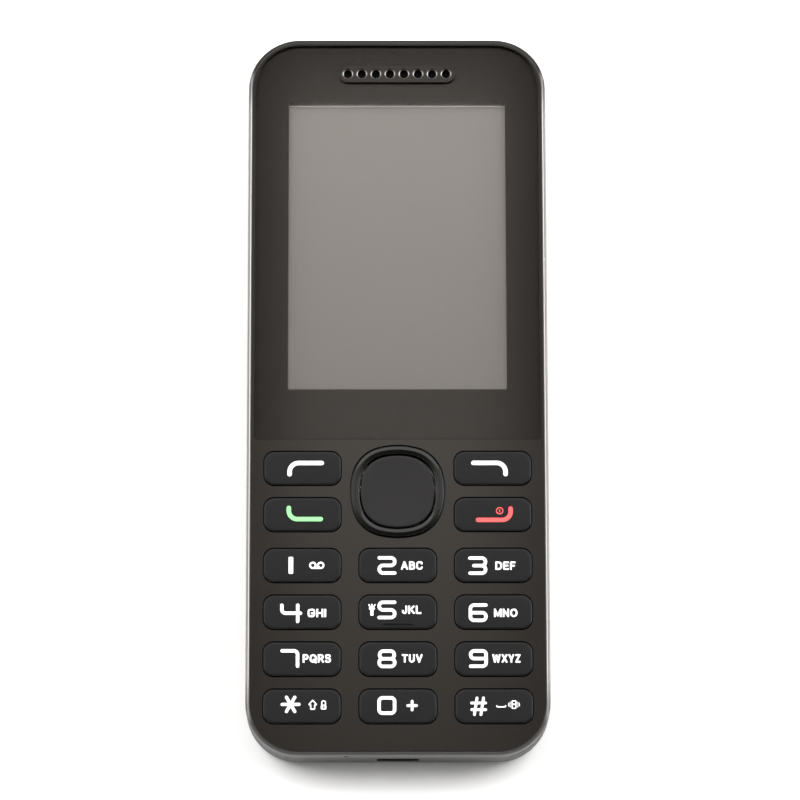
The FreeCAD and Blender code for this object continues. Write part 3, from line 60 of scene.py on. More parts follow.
import bmesh
import bpy
import numpy as np
from bpy.props import FloatProperty, FloatVectorProperty, IntProperty, PointerProperty
from mathutils import Matrix, Vector

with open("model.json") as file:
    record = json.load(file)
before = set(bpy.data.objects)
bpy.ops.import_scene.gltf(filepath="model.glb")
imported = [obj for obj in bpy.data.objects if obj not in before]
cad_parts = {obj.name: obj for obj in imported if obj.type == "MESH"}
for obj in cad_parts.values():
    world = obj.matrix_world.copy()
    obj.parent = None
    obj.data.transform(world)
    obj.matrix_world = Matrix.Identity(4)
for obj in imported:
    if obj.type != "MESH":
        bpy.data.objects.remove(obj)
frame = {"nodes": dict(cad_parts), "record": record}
frame_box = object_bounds()

MM = 0.001
NODES = frame["nodes"]
BODIES = frame["record"]["behaviour"]["bodies"]
BODY_OF = {node: body for body, members in BODIES.items() for node in members}
SLOT_OF = {name: node.material_slots[0].material.name for name, node in NODES.items()}


# Sizes and colours that a user may change


def tone(red, green, blue):
    """The light of a colour whose parts run from 0 to 255: each part's share of 255, to the power 2.2."""
    return tuple((part / 255) ** 2.2 for part in (red, green, blue))


def size(name, description, default):
    return FloatProperty(
        name=name, description=description, default=default * MM, precision=5, unit="LENGTH"
    )


def angle(name, description, default):
    return FloatProperty(
        name=name, description=description, default=radians(default), subtype="ANGLE", unit="ROTATION"
    )


def colour(name, description, default):
    return FloatVectorProperty(
        name=name, description=description, default=default, size=3, min=0, max=1, subtype="COLOR"
    )


def share(name, description, default, highest):
    return FloatProperty(name=name, description=description, default=default, min=0, max=highest)


class PhoneStudio(bpy.types.PropertyGroup):
    """Where the camera stands, and how bright the studio is."""

    tilt: angle("Tilt", "Lean of the camera from straight above, towards the keypad end", 13.3)
    turn: angle("Turn", "Swing of the camera to the right of the phone's middle line", -0.267)
    roll: angle("Roll", "Turn of the camera about its own line of sight", -0.101)
    distance: size("Distance", "From the camera to the point on the front face that it looks at", 774.66)
    aim_x: size("Aim across", "Sideways place of the point looked at", 0.427)
    aim_y: size("Aim along", "Lengthways place of the point looked at", -1.666)
    focus: FloatProperty(
        name="Lens", description="Focal length of the camera", default=206.63, unit="CAMERA"
    )
    room: share("Room light", "Light that comes from all round", 0.76, 10)
    side_light: share("Side lights", "Power of each soft box at the sides, in watts", 30, 1000)
    strip_light: share("Strip lights", "Power of each long low light at the sides, in watts", 3, 1000)
    back_light: share("Back light", "Power of the soft box past the upper end, in watts", 8, 1000)
    panel_light: share("Overhead panel", "Brightness of the panel that the front mirrors", 1.0, 100)
    floor_tone: colour("Floor", "Colour of the floor", (0.92, 0.92, 0.92))


class PhoneKeypad(bpy.types.PropertyGroup):
    """Sizes of the keys, the ring and what is printed on them."""

    flange: size("Flange", "How far a key's flange stands out under its opening", 0.5)
    flange_thickness: size("Flange thickness", "Height of a key's flange", 0.5)
    flange_rise: size("Flange height", "From the foot of a key's plunger to its flange", 1.2)
    plunger: size("Plunger", "Radius of the plunger under a key", 1.1)
    corner: size("Key corner", "Corner radius of a key's cap", 1.75)
    edge: size("Key edge", "Radius of the edge round a key's top", 0.22)
    crown: size("Key crown", "How much lower a key's top lies at its corners than in its middle", 0.05)
    draft: size("Key draft", "How much a cap narrows from its flange to its top", 0.03)
    bar_length: size("Touch bar", "Length of the raised bar on the middle key", 5.2)
    bar_width: size("Touch bar width", "Width of the raised bar", 0.5)
    bar_place: size("Touch bar place", "How far the bar lies below the key's middle", 1.96)
    ring_half: size("Ring", "Half the width of the navigation ring", 7.77)
    ring_band: size("Ring band", "Width of the ring's ridge", 1.32)
    ring_crest: size("Ring crest", "How far the ridge's crest rises over its shoulders", 0.15)
    ring_edge: size("Ring edge", "Radius of the edges beside the ridge's crest", 0.14)
    ok_dish: size("Centre key dish", "How deep the centre key is dished", 0.06)
    ink: size("Ink", "Thickness of the printed legends", 0.012)
    digit: size("Digit", "Half the width and height of a digit's middle line", 1.29)
    digit_stroke: size("Digit stroke", "Width of a digit's line", 0.565)
    digit_turn: size("Digit turn", "Radius of the turns of a digit's middle line", 0.62)
    letter: size("Letter", "Height of the capitals beside a digit", 1.42)
    letter_stroke: size("Letter stroke", "Width of the lines of the capitals", 0.30)
    letter_gap: size("Letter gap", "Room between two capitals", 0.18)


class PhoneColours(bpy.types.PropertyGroup):
    """Colours of the finishes."""

    front: colour("Front", "Glossy front moulding", (0.0095, 0.0080, 0.0065))
    band: colour("Band", "Lacquered metal band round the edge", (0.212, 0.208, 0.204))
    border: colour("Border", "Ink behind the edge of the lens", (0.0105, 0.0085, 0.0070))
    screen: colour("Screen", "Screen, switched off", (0.127, 0.1155, 0.107))
    # Painted light: lighter than the glass would be, to make up for the shade that the window's top edge
    # casts on it
    screen_edge: colour("Screen edge", "Glass round the screen's picture area", (0.78, 0.73, 0.68))
    key: colour("Keys", "Matt key caps", (0.0050, 0.0051, 0.0055))
    centre: colour("Centre key", "Matt cap of the centre key", (0.0062, 0.0056, 0.0058))
    ring: colour("Ring", "Glossy navigation ring", (0.0030, 0.0028, 0.0026))
    rim: colour("Sound holes", "Bright rims of the holes over the earpiece", (0.30, 0.29, 0.28))
    cover: colour("Cover", "Textured rear cover", (0.011, 0.0105, 0.010))
    housing: colour("Housing", "Inner mouldings", (0.018, 0.018, 0.018))
    white_ink: colour("White ink", "Printed digits and letters", (0.90, 0.90, 0.90))
    green_ink: colour("Green ink", "Mark of the key that takes a call", (0.26, 0.86, 0.28))
    red_ink: colour("Red ink", "Mark of the key that ends a call", (0.86, 0.095, 0.095))
    battery: colour("Battery", "Film round the battery", (0.055, 0.056, 0.06))


class PhoneParts(bpy.types.PropertyGroup):
    """Sizes of the fine parts behind and inside the phone."""

    slot_width: size("Screw slot", "Width of the cross in a screw's head", 0.34)
    slot_reach: size("Screw cross", "How far the cross reaches from the middle", 0.72)
    slot_depth: size("Screw slot depth", "Depth of the cross", 0.45)
    thread_pitch: size("Thread pitch", "Rise of the thread in one turn", 0.5)
    thread_depth: size("Thread depth", "How deep the thread is cut", 0.16)
    pupil: size("Pupil", "Radius of the opening in the camera's barrel", 1.2)
    dome: size("Camera dome", "How far the camera's front glass bulges", 0.28)
    torch_groove: size("Torch groove", "Width of one ring of the torch's lens", 0.17)
    torch_relief: size("Torch relief", "Depth of the rings of the torch's lens", 0.06)
    pad_thickness: size("Contact thickness", "How far gold contacts stand out", 0.03)
    screen_top: size("Picture top", "Where the screen's picture area ends, along the phone", 50.43)
    screen_side: size("Picture side", "Half the width of the screen's film", 19.2)
    film: size("Screen film", "Thickness of the film on the screen", 0.04)
    hole_pitch: size("Sound hole pitch", "From one hole over the earpiece to the next", 2.407)
    rim_outside: size("Rim outside", "Outer radius of the rim in a sound hole", 0.92)
    rim_inside: size("Rim inside", "Inner radius of the rim in a sound hole", 0.73)
    rim_drop: size("Rim drop", "How far a rim's slope runs down into its hole", 0.12)
    turns: IntProperty(
        name="Steps", description="Steps round a small turned part", default=48, min=12, max=256
    )


# Shader maths


def wire_first(operation):
    """A method of a wire that joins it with another value."""
    return lambda wire, other: wire.maths(operation, wire, other)


def either_side(operation):
    """Two such methods: the wire comes first in one, and the other value does in the reflected one."""
    return wire_first(operation), lambda wire, other: wire.maths(operation, other, wire)


class Wire:
    """A node's output. Arithmetic on wires adds Math nodes, and a plain number may stand on either side."""

    def __init__(self, shader, socket):
        self.shader = shader
        self.socket = socket

    def maths(self, operation, first, second=0.0):
        return self.shader.node("Math", {"operation": operation}, {0: first, 1: second})

    __add__, __radd__ = either_side("ADD")
    __sub__, __rsub__ = either_side("SUBTRACT")
    __mul__, __rmul__ = either_side("MULTIPLY")
    __truediv__, __rtruediv__ = either_side("DIVIDE")
    __pow__, __rpow__ = either_side("POWER")
    __lt__ = wire_first("LESS_THAN")
    __gt__ = wire_first("GREATER_THAN")
    least = wire_first("MINIMUM")
    most = wire_first("MAXIMUM")

    def wave(self):
        """The wire's sine."""
        return self.maths("SINE", self)

    def size(self):
        """The wire without its sign."""
        return self.maths("ABSOLUTE", self)


class Shader:
    """The nodes of one material or of the world."""

    def __init__(self, owner):
        owner.use_nodes = True
        self.owner = owner
        self.tree = owner.node_tree
        self.tree.nodes.clear()

    def node(self, kind, settings=None, sockets=None, output=0):
        """Adds a node: its settings come first, then a value or a wire for each socket that is named."""
        made = self.tree.nodes.new("ShaderNode" + kind)
        for name, value in (settings or {}).items():
            setattr(made, name, value)
        for name, value in (sockets or {}).items():
            if isinstance(value, Wire):
                self.tree.links.new(value.socket, made.inputs[name])
            else:
                made.inputs[name].default_value = value
        return Wire(self, made.outputs[output]) if made.outputs else None

    def place(self, stretch=None, centre=(0, 0, 0)):
        """The point on the object, moved so that centre is the middle, and drawn out by stretch."""
        point = self.node("TexCoord", output="Object")
        if stretch is None:
            return point
        moved = self.node("VectorMath", {"operation": "SUBTRACT"}, {0: point, 1: centre})
        return self.node("VectorMath", {"operation": "DIVIDE"}, {0: moved, 1: stretch})

    def axis(self, letter):
        """One coordinate of the point on the object."""
        return self.node("SeparateXYZ", sockets={0: self.place()}, output=letter)

    def noise(self, grain, detail=2.0, stretch=(1, 1, 1)):
        """Smooth noise from 0 to 1 whose lumps are about grain metres wide, times stretch on each axis."""
        sockets = {"Vector": self.place(stretch), "Scale": 1 / grain, "Detail": detail}
        return self.node("TexNoise", sockets=sockets)

    def cells(self, width, output="Distance", stretch=(1, 1, 1), scatter=1.0):
        """Cells about width metres wide: the distance from each one's middle, or a colour of its own."""
        sockets = {"Vector": self.place(stretch), "Scale": 1 / width, "Randomness": scatter}
        return self.node("TexVoronoi", sockets=sockets, output=output)

    def waves(self, where, length):
        """A sine wave from -1 to 1 along a coordinate, length metres long."""
        return (where * (2 * pi / length)).wave()

    def reach(self, node, unit):
        """The distance from a node's middle line, level with the front, in units of so many metres."""
        low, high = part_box(node)
        centre = (*((low + high) / 2)[:2], 0.0)
        flat = self.place((unit, unit, 1000 * unit), centre)
        return self.node("VectorMath", {"operation": "LENGTH"}, {0: flat}, output="Value")

    def specks(self, spacing, radius, kept):
        """1 on small dots, radius metres wide, in a kept share of the cells, and 0 elsewhere."""
        return (self.cells(spacing) < radius / spacing) * (self.cells(spacing, "Color") < kept)

    def mix(self, factor, first, second):
        """A colour between the first, where the factor is 0, and the second, where it is 1."""
        first, second = (c if isinstance(c, Wire) else (*c[:3], 1.0) for c in (first, second))
        settings = {"data_type": "RGBA", "clamp_factor": True}
        return self.node("Mix", settings, {0: factor, 6: first, 7: second}, output=2)

    def ramp(self, where, stops):
        """A level that runs straight from stop to stop. Each stop is a place and the level there."""
        places, levels = np.array(stops, float).T
        reach = (where - float(places[0])) / float(places[-1] - places[0])
        made = self.node("ValToRGB", sockets={0: reach})
        ends = made.socket.node.color_ramp.elements
        while len(ends) < len(places):
            ends.new(0.5)
        parts = (places - places[0]) / (places[-1] - places[0])
        for end, part, level in zip(ends, parts, levels / levels.max()):
            end.position = part
            end.color = (level, level, level, 1.0)
        return made * float(levels.max())

    def relief(self, height, depth):
        """A normal that follows a height from 0 to 1 over a depth in metres."""
        return self.node("Bump", sockets={"Height": height, "Distance": depth})

    def surface(self, base, **sockets):
        """Ends the nodes in a Principled shader. Socket names are written with _ for each space."""
        base = base if isinstance(base, Wire) else (*base[:3], 1.0)
        named = {name.replace("_", " "): value for name, value in sockets.items()}
        return self.end(self.node("BsdfPrincipled", sockets={"Base Color": base, **named}))

    def end(self, shader):
        self.node("OutputMaterial", sockets={"Surface": shader})
        return self.owner


def grey(level):
    """A colour whose parts are all alike."""
    return (level, level, level)


def scaled(shade, factor):
    """A colour made lighter or darker by a factor, and no part over 1."""
    return tuple(min(1.0, part * factor) for part in shade[:3])


# Finishes, one function for each slot of the record


def patterned(shader, pattern, shades, rough, depth=0.0, **more):
    """A surface whose colour, roughness and relief all follow one pattern from 0 to 1.

    The colour runs between both shades. The roughness is the pattern times the first value of rough, plus
    the second.
    """
    if depth:
        more["Normal"] = shader.relief(pattern, depth)
    return shader.surface(shader.mix(pattern, *shades), Roughness=pattern * rough[0] + rough[1], **more)


def around(shade, lower, upper):
    """Two shades of one colour, made darker and lighter by two factors."""
    return scaled(shade, lower), scaled(shade, upper)


def front_black(shader, hues):
    """Glossy black moulding with faint flow marks and a few specks of dust."""
    flow = shader.noise(9 * MM, 3)
    dust = shader.specks(2.6 * MM, 0.035 * MM, 0.06)
    base = shader.mix(dust, shader.mix(flow, *around(hues.front, 0.92, 1.08)), tone(120, 116, 110))
    ripple = shader.relief(shader.noise(5 * MM, 1), 0.0006 * MM)
    return shader.surface(base, Roughness=flow * 0.03 + 0.08 + dust * 0.4, Normal=ripple, IOR=1.53)


def band_grey(shader, hues):
    """Satin lacquer over metal, with fine lines that run round the band.

    At the sides its inner lip carries a painted highlight, near white. Both ends are darker, which is
    painted shade, and less smooth, and the upper end the most.
    """
    lines = shader.noise(0.05 * MM, 2, (60, 60, 1))
    flake = shader.noise(0.12 * MM, 1)
    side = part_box("side_frame")[1].x
    lip_stops = ((0, 1), (side - 0.42 * MM, 1), (side - 0.36 * MM, 0), (side, 0))
    lip = shader.ramp(shader.axis("X").size(), lip_stops)
    along = shader.axis("Y")
    flank = shader.ramp(along.size(), ((0, 1), (48.5 * MM, 1), (56.5 * MM, 0), (62 * MM, 0)))
    # Painted shade: both ends of the band are darkened, the upper end the most, in place of the dim
    # surroundings that they would mirror
    ends = shader.mix(along > 0, scaled(hues.band, 0.37), scaled(hues.band, 0.08))
    lacquer_with_painted_shade = shader.mix(flake * 0.2, shader.mix(flank, ends, hues.band), (0.0, 0.0, 0.0))
    # Painted highlight: the inner lip at the sides is made near white and less metallic, in place of the
    # bright line that it would mirror
    painted_lip_highlight = lip * flank
    base = shader.mix(painted_lip_highlight, lacquer_with_painted_shade, scaled(hues.band, 4.2))
    metal = flank * 0.6 + 0.4 - painted_lip_highlight * 0.7
    roughness = lines * 0.1 + 0.4 - flank * 0.2
    marks = shader.relief(lines, 0.001 * MM)
    return shader.surface(base, Metallic=metal, Roughness=roughness, Normal=marks)


# How much of its mirror the lens gives itself. The shine or a coat of what lies behind it gives the rest

LENS_SHARE = 0.1
LENS_COAT = {"Coat_Weight": 1 - LENS_SHARE, "Coat_Roughness": 0.07}
BEHIND_LENS = {"Specular_IOR_Level": 0.5 * (1 - LENS_SHARE)}


def clear(shader, tint, roughness, index=1.49, share=1.0):
    """A clear part: light passes straight on, and its outer faces mirror by a share of the full amount."""
    behind = shader.node("BsdfTransparent", sockets={"Color": (*tint, 1.0)})
    gloss = shader.node("BsdfAnisotropic", sockets={"Color": (1.0, 1.0, 1.0, 1.0), "Roughness": roughness})
    outside = 1 - shader.node("NewGeometry", output="Backfacing")
    mirrored = shader.node("Fresnel", sockets={"IOR": index}) * outside * share
    return shader.end(shader.node("MixShader", sockets={0: mirrored, 1: behind, 2: gloss}))


def lens_clear(shader, hues):
    """Hard-coated acrylic of the display lens. A coat on what lies behind it gives most of its mirror."""
    smear = shader.noise(14 * MM, 3)
    return clear(shader, (0.97, 0.97, 0.97), smear * 0.02 + 0.06, share=LENS_SHARE)


def window_glass(shader, hues):
    """Smoked glass over the camera."""
    return clear(shader, (0.30, 0.30, 0.33), shader.noise(2 * MM) * 0.02 + 0.02, 1.52)


def torch_clear(shader, hues):
    """Clear moulded lens of the torch."""
    return clear(shader, (0.86, 0.86, 0.82), shader.noise(0.4 * MM) * 0.06 + 0.10)


def woven(shader, hues):
    """Black mesh, woven of fine wires that cross square."""
    across, along = (shader.waves(shader.axis(letter), 0.16 * MM).size() for letter in "XY")
    wires = across.most(along) ** 6
    shades = (grey(0.0005), grey(0.008))
    return patterned(shader, wires, shades, (-0.3, 0.8), 0.03 * MM, Specular_IOR_Level=0.1)


def screw_black(shader, hues):
    """Black zinc, worn a little brighter where a driver turns in it."""
    wear = shader.noise(0.3 * MM, 3)
    base = shader.mix(wear > 0.58, (0.045, 0.045, 0.048), (0.16, 0.155, 0.15))
    marks = shader.relief(wear, 0.006 * MM)
    return shader.surface(base, Metallic=0.9, Roughness=wear * 0.25 + 0.3, Normal=marks)


def screen_film(shader, hues):
    """Satin film over the picture area, a shade lighter towards the upper end. Along both sides it carries
    painted light that makes up for the shade that the window's edges cast on it.
    """
    cloud = shader.noise(16 * MM, 3)
    rise = shader.axis("Y") * (1 / (52 * MM))
    middle = shader.mix(rise * 0.9 + cloud * 0.1, *around(hues.screen, 0.78, 1.06))
    # Painted light: the film is made lighter along both sides to cancel the shade from the window's edges
    side = shader.ramp(shader.axis("X").size(), ((0, 0), (17.4 * MM, 0), (18.6 * MM, 1), (20 * MM, 1)))
    base = shader.mix(side, middle, scaled(hues.screen, 1.45))
    grain = shader.relief(shader.noise(0.06 * MM, 1), 0.0015 * MM)
    return shader.surface(base, Roughness=cloud * 0.05 + 0.33, Normal=grain, **LENS_COAT)


def flex_amber(shader, hues):
    """Amber ribbon with copper tracks under its film."""
    tracks = shader.waves(shader.axis("X"), 0.5 * MM) > 0.1
    return patterned(shader, tracks, (tone(172, 104, 30), tone(204, 140, 62)), (0.08, 0.28), 0.01 * MM)


def key_black(shader, hues):
    """Matt cap: a soft-touch lacquer with a very fine grain, a little smoother where fingers press."""
    grain = shader.noise(0.07 * MM, 1)
    touch = shader.noise(4 * MM, 2)
    base = shader.mix(touch, *around(hues.key, 0.95, 1.05))
    marks = shader.relief(grain, 0.0025 * MM)
    roughness = touch * 0.05 + grain * 0.05 + 0.27
    return shader.surface(base, Roughness=roughness, Normal=marks, Specular_IOR_Level=0.34)


def centre_black(shader, hues):
    """The centre key's cap: the same lacquer as the keys, rubbed a shade lighter."""
    grain = shader.noise(0.07 * MM, 1)
    rub = shader.noise(5 * MM, 2)
    base = shader.mix(rub, *around(hues.centre, 0.94, 1.06))
    return shader.surface(base, Roughness=rub * 0.05 + 0.32, Normal=shader.relief(grain, 0.0025 * MM))


def cover_black(shader, hues):
    """Rear cover: matt plastic with an even field of fine round dimples."""
    dimples = shader.cells(0.55 * MM, scatter=0.12)
    wear = shader.noise(18 * MM, 4)
    base = shader.mix(wear, *around(hues.cover, 0.85, 1.2))
    relief = shader.relief(dimples.least(0.42), 0.05 * MM)
    return shader.surface(base, Roughness=dimples * 0.18 + wear * 0.06 + 0.34, Normal=relief)


def ring_metal(shader, hues):
    """Turned metal ring: fine grooves that run round its middle."""
    grooves = shader.waves(shader.reach("camera_ring", 1), 0.06 * MM)
    base = shader.mix(grooves, (0.10, 0.10, 0.105), (0.15, 0.15, 0.155))
    return shader.surface(base, Metallic=1.0, Roughness=0.28, Normal=shader.relief(grooves, 0.0015 * MM))


def coated_glass(shader, hues):
    """Front glass of the camera, with a violet coating that thins towards its rim."""
    base = shader.mix(shader.reach("camera_ring", MM) * 0.8, (0.012, 0.004, 0.03), (0.002, 0.006, 0.010))
    roughness = shader.noise(0.5 * MM) * 0.02 + 0.03
    return shader.surface(base, Roughness=roughness, Coat_Weight=1.0, Coat_Roughness=0.02)


def battery_grey(shader, hues):
    """Shrunk film round the battery, with slight waves over its ends."""
    waves = shader.noise(2.5 * MM, 2, (3, 1, 1))
    base = shader.mix(waves, *around(hues.battery, 0.9, 1.12))
    roughness = shader.noise(0.2 * MM) * 0.1 + 0.3
    return shader.surface(base, Roughness=roughness, Normal=shader.relief(waves, 0.03 * MM))


def board_green(shader, hues):
    """Green solder mask over copper tracks, with tinned dots where tracks change sides."""
    slant = shader.axis("X") + shader.axis("Y") * (shader.noise(7 * MM, 0) > 0.5)
    tracks = shader.waves(slant, 0.9 * MM) > 0.35
    dots = shader.specks(1.4 * MM, 0.16 * MM, 0.55)
    mask = shader.mix(tracks, (0.006, 0.045, 0.018), (0.014, 0.085, 0.034))
    raised = shader.relief(tracks.most(dots), 0.02 * MM)
    base = shader.mix(dots, mask, (0.55, 0.54, 0.50))
    return shader.surface(base, Metallic=dots, Roughness=dots * 0.1 + 0.26, Normal=raised)


def brushed(shader, shade, grain, roughness, stretch=(1, 30, 1)):
    """Metal with fine lines along one axis."""
    lines = shader.noise(grain * MM, 2, stretch)
    rough = (0.16, roughness)
    return patterned(shader, lines, around(shade, 0.86, 1.1), rough, grain * MM * 0.05, Metallic=1.0)


def moulded(shader, shade, grain, roughness):
    """Matt plastic from a spark-eroded mould: small rounded pits of uneven depth."""
    pits = shader.cells(grain * MM)
    base = shader.mix(shader.noise(8 * MM, 3), *around(shade, 0.88, 1.12))
    marks = shader.relief(pits, grain * MM * 0.06)
    return shader.surface(base, Roughness=pits * 0.12 + roughness, Normal=marks)


# Finishes that follow one pattern, by slot: the pattern with its width in millimetres and what else it
# takes, both shades, roughness, depth of relief in millimetres, and what else the surface has. Shades that
# start with a word are the user's colour of that name, made darker and lighter by two factors

PATTERNED = {
    # Ink printed behind the lens, as glossy as the lens in front of it
    "print_black": ("noise", (0.2,), ("border", 0.94, 1.06), (0.01, 0.065), 0, BEHIND_LENS),
    # Black foam tape with open cells at its cut edges
    "tape": ("cells", (0.12,), (grey(0.008), grey(0.03)), (0.2, 0.75), 0.03, {}),
    # Satin black insert
    "grille_black": ("noise", (0.09, 1), ("front", 0.95, 1.25), (0.06, 0.12), 0.002, {}),
    # Milky silicone rubber
    "silicone": ("noise", (1.5, 3), (tone(214, 214, 212), tone(228, 228, 224)), (0.1, 0.5), 0.02, {}),
    # Clear polyester film with a slight haze
    "film": ("noise", (3, 3), (tone(196, 198, 196), tone(222, 223, 220)), (0.15, 0.15), 0.02, {}),
    # Sintered weight, grey and slightly grainy
    "tungsten": (
        "cells", (0.09,), ((0.19, 0.19, 0.20), (0.33, 0.33, 0.34)), (0.2, 0.42), 0.01, {"Metallic": 1.0},
    ),
    # White ceramic of a lamp's package, tinted yellow where the light comes out
    "lamp_white": ("noise", (0.1,), (tone(232, 214, 120), tone(244, 236, 190)), (0.2, 0.35), 0, {}),
    # White moulded frame behind the screen
    "frame_white": ("noise", (0.15,), (tone(222, 222, 220), tone(236, 236, 234)), (0.1, 0.4), 0.004, {}),
    # Glass round the picture area, over its dark mask. Its colour is made far lighter than such glass, as
    # painted light on the strip that the window's top edge shades
    "lcd_grey": ("noise", (4,), ("screen_edge", 0.96, 1.04), (0.05, 0.2), 0, LENS_COAT),
    # Polished black ring with faint polishing marks
    "ring_black": (
        "noise", (0.3, 2), ("ring", 0.95, 1.05), (0.03, 0.1), 0.002, {"Specular_IOR_Level": 0.45},
    ),
    # Screen-printed ink, very slightly uneven
    **{
        name: ("noise", (0.12,), (name, 0.96, 1.0), (0.1, 0.45), 0, {})
        for name in ("white_ink", "green_ink", "red_ink")
    },
}

# Kinds of brushed metal and of moulded plastic, by slot: the shade, and what else the finish takes

METALS = {
    "spring_steel": ((0.56, 0.56, 0.57), 0.05, 0.2),
    "can_steel": ((0.60, 0.60, 0.58), 0.08, 0.3),
    "gold": ((0.83, 0.58, 0.22), 0.07, 0.2),
    "bright_rim": ("rim", 0.06, 0.16, (1, 1, 1)),
}
PLASTICS = {
    "housing_black": ("housing", 0.16, 0.44),
    "socket_black": (grey(0.013), 0.1, 0.4),
    "module_black": ((0.016, 0.016, 0.018), 0.12, 0.35),
    "card_black": (grey(0.016), 0.14, 0.36),
    "card_white": ((0.78, 0.78, 0.76), 0.2, 0.38),
}
SINGLES = {
    "mesh": woven,
    **{
        made.__name__: made
        for made in (
            front_black, band_grey, lens_clear, window_glass, torch_clear, screw_black, screen_film,
            flex_amber, key_black, centre_black, cover_black, ring_metal, coated_glass, battery_grey,
            board_green,
        )
    },
}


def make_finish(name, shader, hues):
    """Builds the nodes of one finish: by its own function, the table of patterns or a family's function."""
    if name in SINGLES:
        return SINGLES[name](shader, hues)
    if name in PATTERNED:
        kind, (width, *rest), shades, rough, depth, more = PATTERNED[name]
        if isinstance(shades[0], str):
            shades = around(getattr(hues, shades[0]), *shades[1:])
        pattern = getattr(shader, kind)(width * MM, *rest)
        return patterned(shader, pattern, shades, rough, depth * MM, **more)
    family, kinds = (brushed, METALS) if name in METALS else (moulded, PLASTICS)
    shade, *rest = kinds[name]
    return family(shader, getattr(hues, shade) if isinstance(shade, str) else shade, *rest)


def finish(name):
    """The material of a finish, made when it is first asked for."""
    title = name + "_finish"
    made = bpy.data.materials.get(title)
    if made is None:
        made = bpy.data.materials.new(title)
        make_finish(name, Shader(made), bpy.context.scene.phone_colours)
    return made


# Surfaces


def rounded_outline(half_x, half_y, corners, middle=(0, 0), steps=10):
    """Points round a rectangle with rounded corners, and the outward direction at each, as two arrays.

    A corner's quarter circle has its middle one radius in from both sides, so each of its points is that
    middle plus the radius times the outward direction. Corners go from the upper right one,
    counter-clockwise.
    """
    radii = np.broadcast_to(np.asarray(corners, float), 4)[:, None]
    turned = np.arange(4)[:, None] * pi / 2 + np.linspace(0, pi / 2, steps + 1)
    outward = np.stack([np.cos(turned), np.sin(turned)], -1)
    quarter = np.array([[1, 1], [-1, 1], [-1, -1], [1, -1]])
    seats = np.asarray(middle, float) + quarter * (np.array([half_x, half_y]) - radii)
    points = seats[:, None] + radii[..., None] * outward
    return points.reshape(-1, 2), outward.reshape(-1, 2)


def circle_outline(radius, middle=(0, 0), steps=48):
    """Points round a circle and their outward directions."""
    turned = np.linspace(0, 2 * pi, steps, endpoint=False)
    outward = np.stack([np.cos(turned), np.sin(turned)], -1)
    return np.asarray(middle, float) + radius * outward, outward


BULGE_RADIUS = 1.6
BULGE_CORNER = 0.764
BULGE_CORNER_PLACE = 0.20928


def cushion_outline(half, middle=(0, 0), steps=128):
    """Points round a square with bulging sides, and their outward directions.

    Each side is an arc of BULGE_RADIUS half widths, and each corner one of BULGE_CORNER, whose middle
    lies BULGE_CORNER_PLACE half widths out on both axes. Side and corner meet where the line through both
    middles cuts them, so they share a tangent there.
    """
    turned = np.linspace(0, 2 * pi, steps, endpoint=False)
    outward = np.stack([np.cos(turned), np.sin(turned)], -1)
    signs = np.sign(outward)
    meeting = np.arctan2(BULGE_CORNER_PLACE, BULGE_CORNER_PLACE + BULGE_RADIUS - 1)
    on_side = np.abs(outward) > np.cos(meeting)
    corner = signs * BULGE_CORNER_PLACE
    side = -signs * on_side * (BULGE_RADIUS - 1)
    flat = on_side.any(1, keepdims=True)
    seats = np.where(flat, side, corner)
    radii = np.where(flat, BULGE_RADIUS, BULGE_CORNER)
    return np.asarray(middle, float) + half * (seats + radii * outward), outward


def rings(outline, profile, middle=(0, 0)):
    """Rows of points that carry a profile round an outline.

    A profile step is how far out it lies, its height, and the share of the way from the middle to the
    outline. A row's points are the middle plus that share of the outline's offset points from it, at that
    height.
    """
    points, outward = outline
    out, height, part = (column[:, None, None] for column in np.array(profile, float).T)
    middle = np.asarray(middle, float)
    flat = middle + part * (points - middle + out * outward)
    return np.concatenate([flat, np.broadcast_to(height, flat[..., :1].shape)], -1)


def arc_steps(radius, start, stop, steps):
    """Steps of an arc from start to stop degrees: the radius times the cosines, and times the sines."""
    turned = np.radians(np.linspace(start, stop, steps + 1))
    return radius * np.cos(turned), radius * np.sin(turned)


class Shape:
    """Points and faces of one piece, gathered surface by surface."""

    def __init__(self):
        self.points = np.empty((0, 3))
        self.faces = []

    def skin(self, rows, joined=False):
        """Adds a surface through rows, each a closed loop of points.

        Face (i, j) joins points j and j + 1 of row i to the same points of row i + 1. The last row runs
        on into the first if they are joined. Otherwise each end is closed by a fan of triangles about the
        middle of its row. A surface whose volume comes out negative is inside out, and is turned round.
        """
        count, steps = rows.shape[:2]
        index = np.arange(count * steps).reshape(count, steps)
        lower, upper = (index, np.roll(index, -1, 0)) if joined else (index[:-1], index[1:])
        quads = np.stack([lower, np.roll(lower, -1, 1), np.roll(upper, -1, 1), upper], -1).reshape(-1, 4)
        points = rows.reshape(-1, 3)
        fans = np.empty((0, 3), int)
        if not joined:
            first = np.stack([np.full(steps, len(points)), np.roll(index[0], -1), index[0]], -1)
            last = np.stack([np.full(steps, len(points) + 1), index[-1], np.roll(index[-1], -1)], -1)
            points = np.concatenate([points, rows[[0, -1]].mean(1)])
            fans = np.concatenate([first, last])
        corners = points[np.concatenate([quads[:, :3], quads[:, [0, 2, 3]], fans])]
        volume = (corners[:, 0] * np.cross(corners[:, 1], corners[:, 2])).sum()
        turn = 1 if volume >= 0 else -1
        start = len(self.points)
        self.points = np.concatenate([self.points, points])
        self.faces += (quads[:, ::turn] + start).tolist() + (fans[:, ::turn] + start).tolist()
        return self


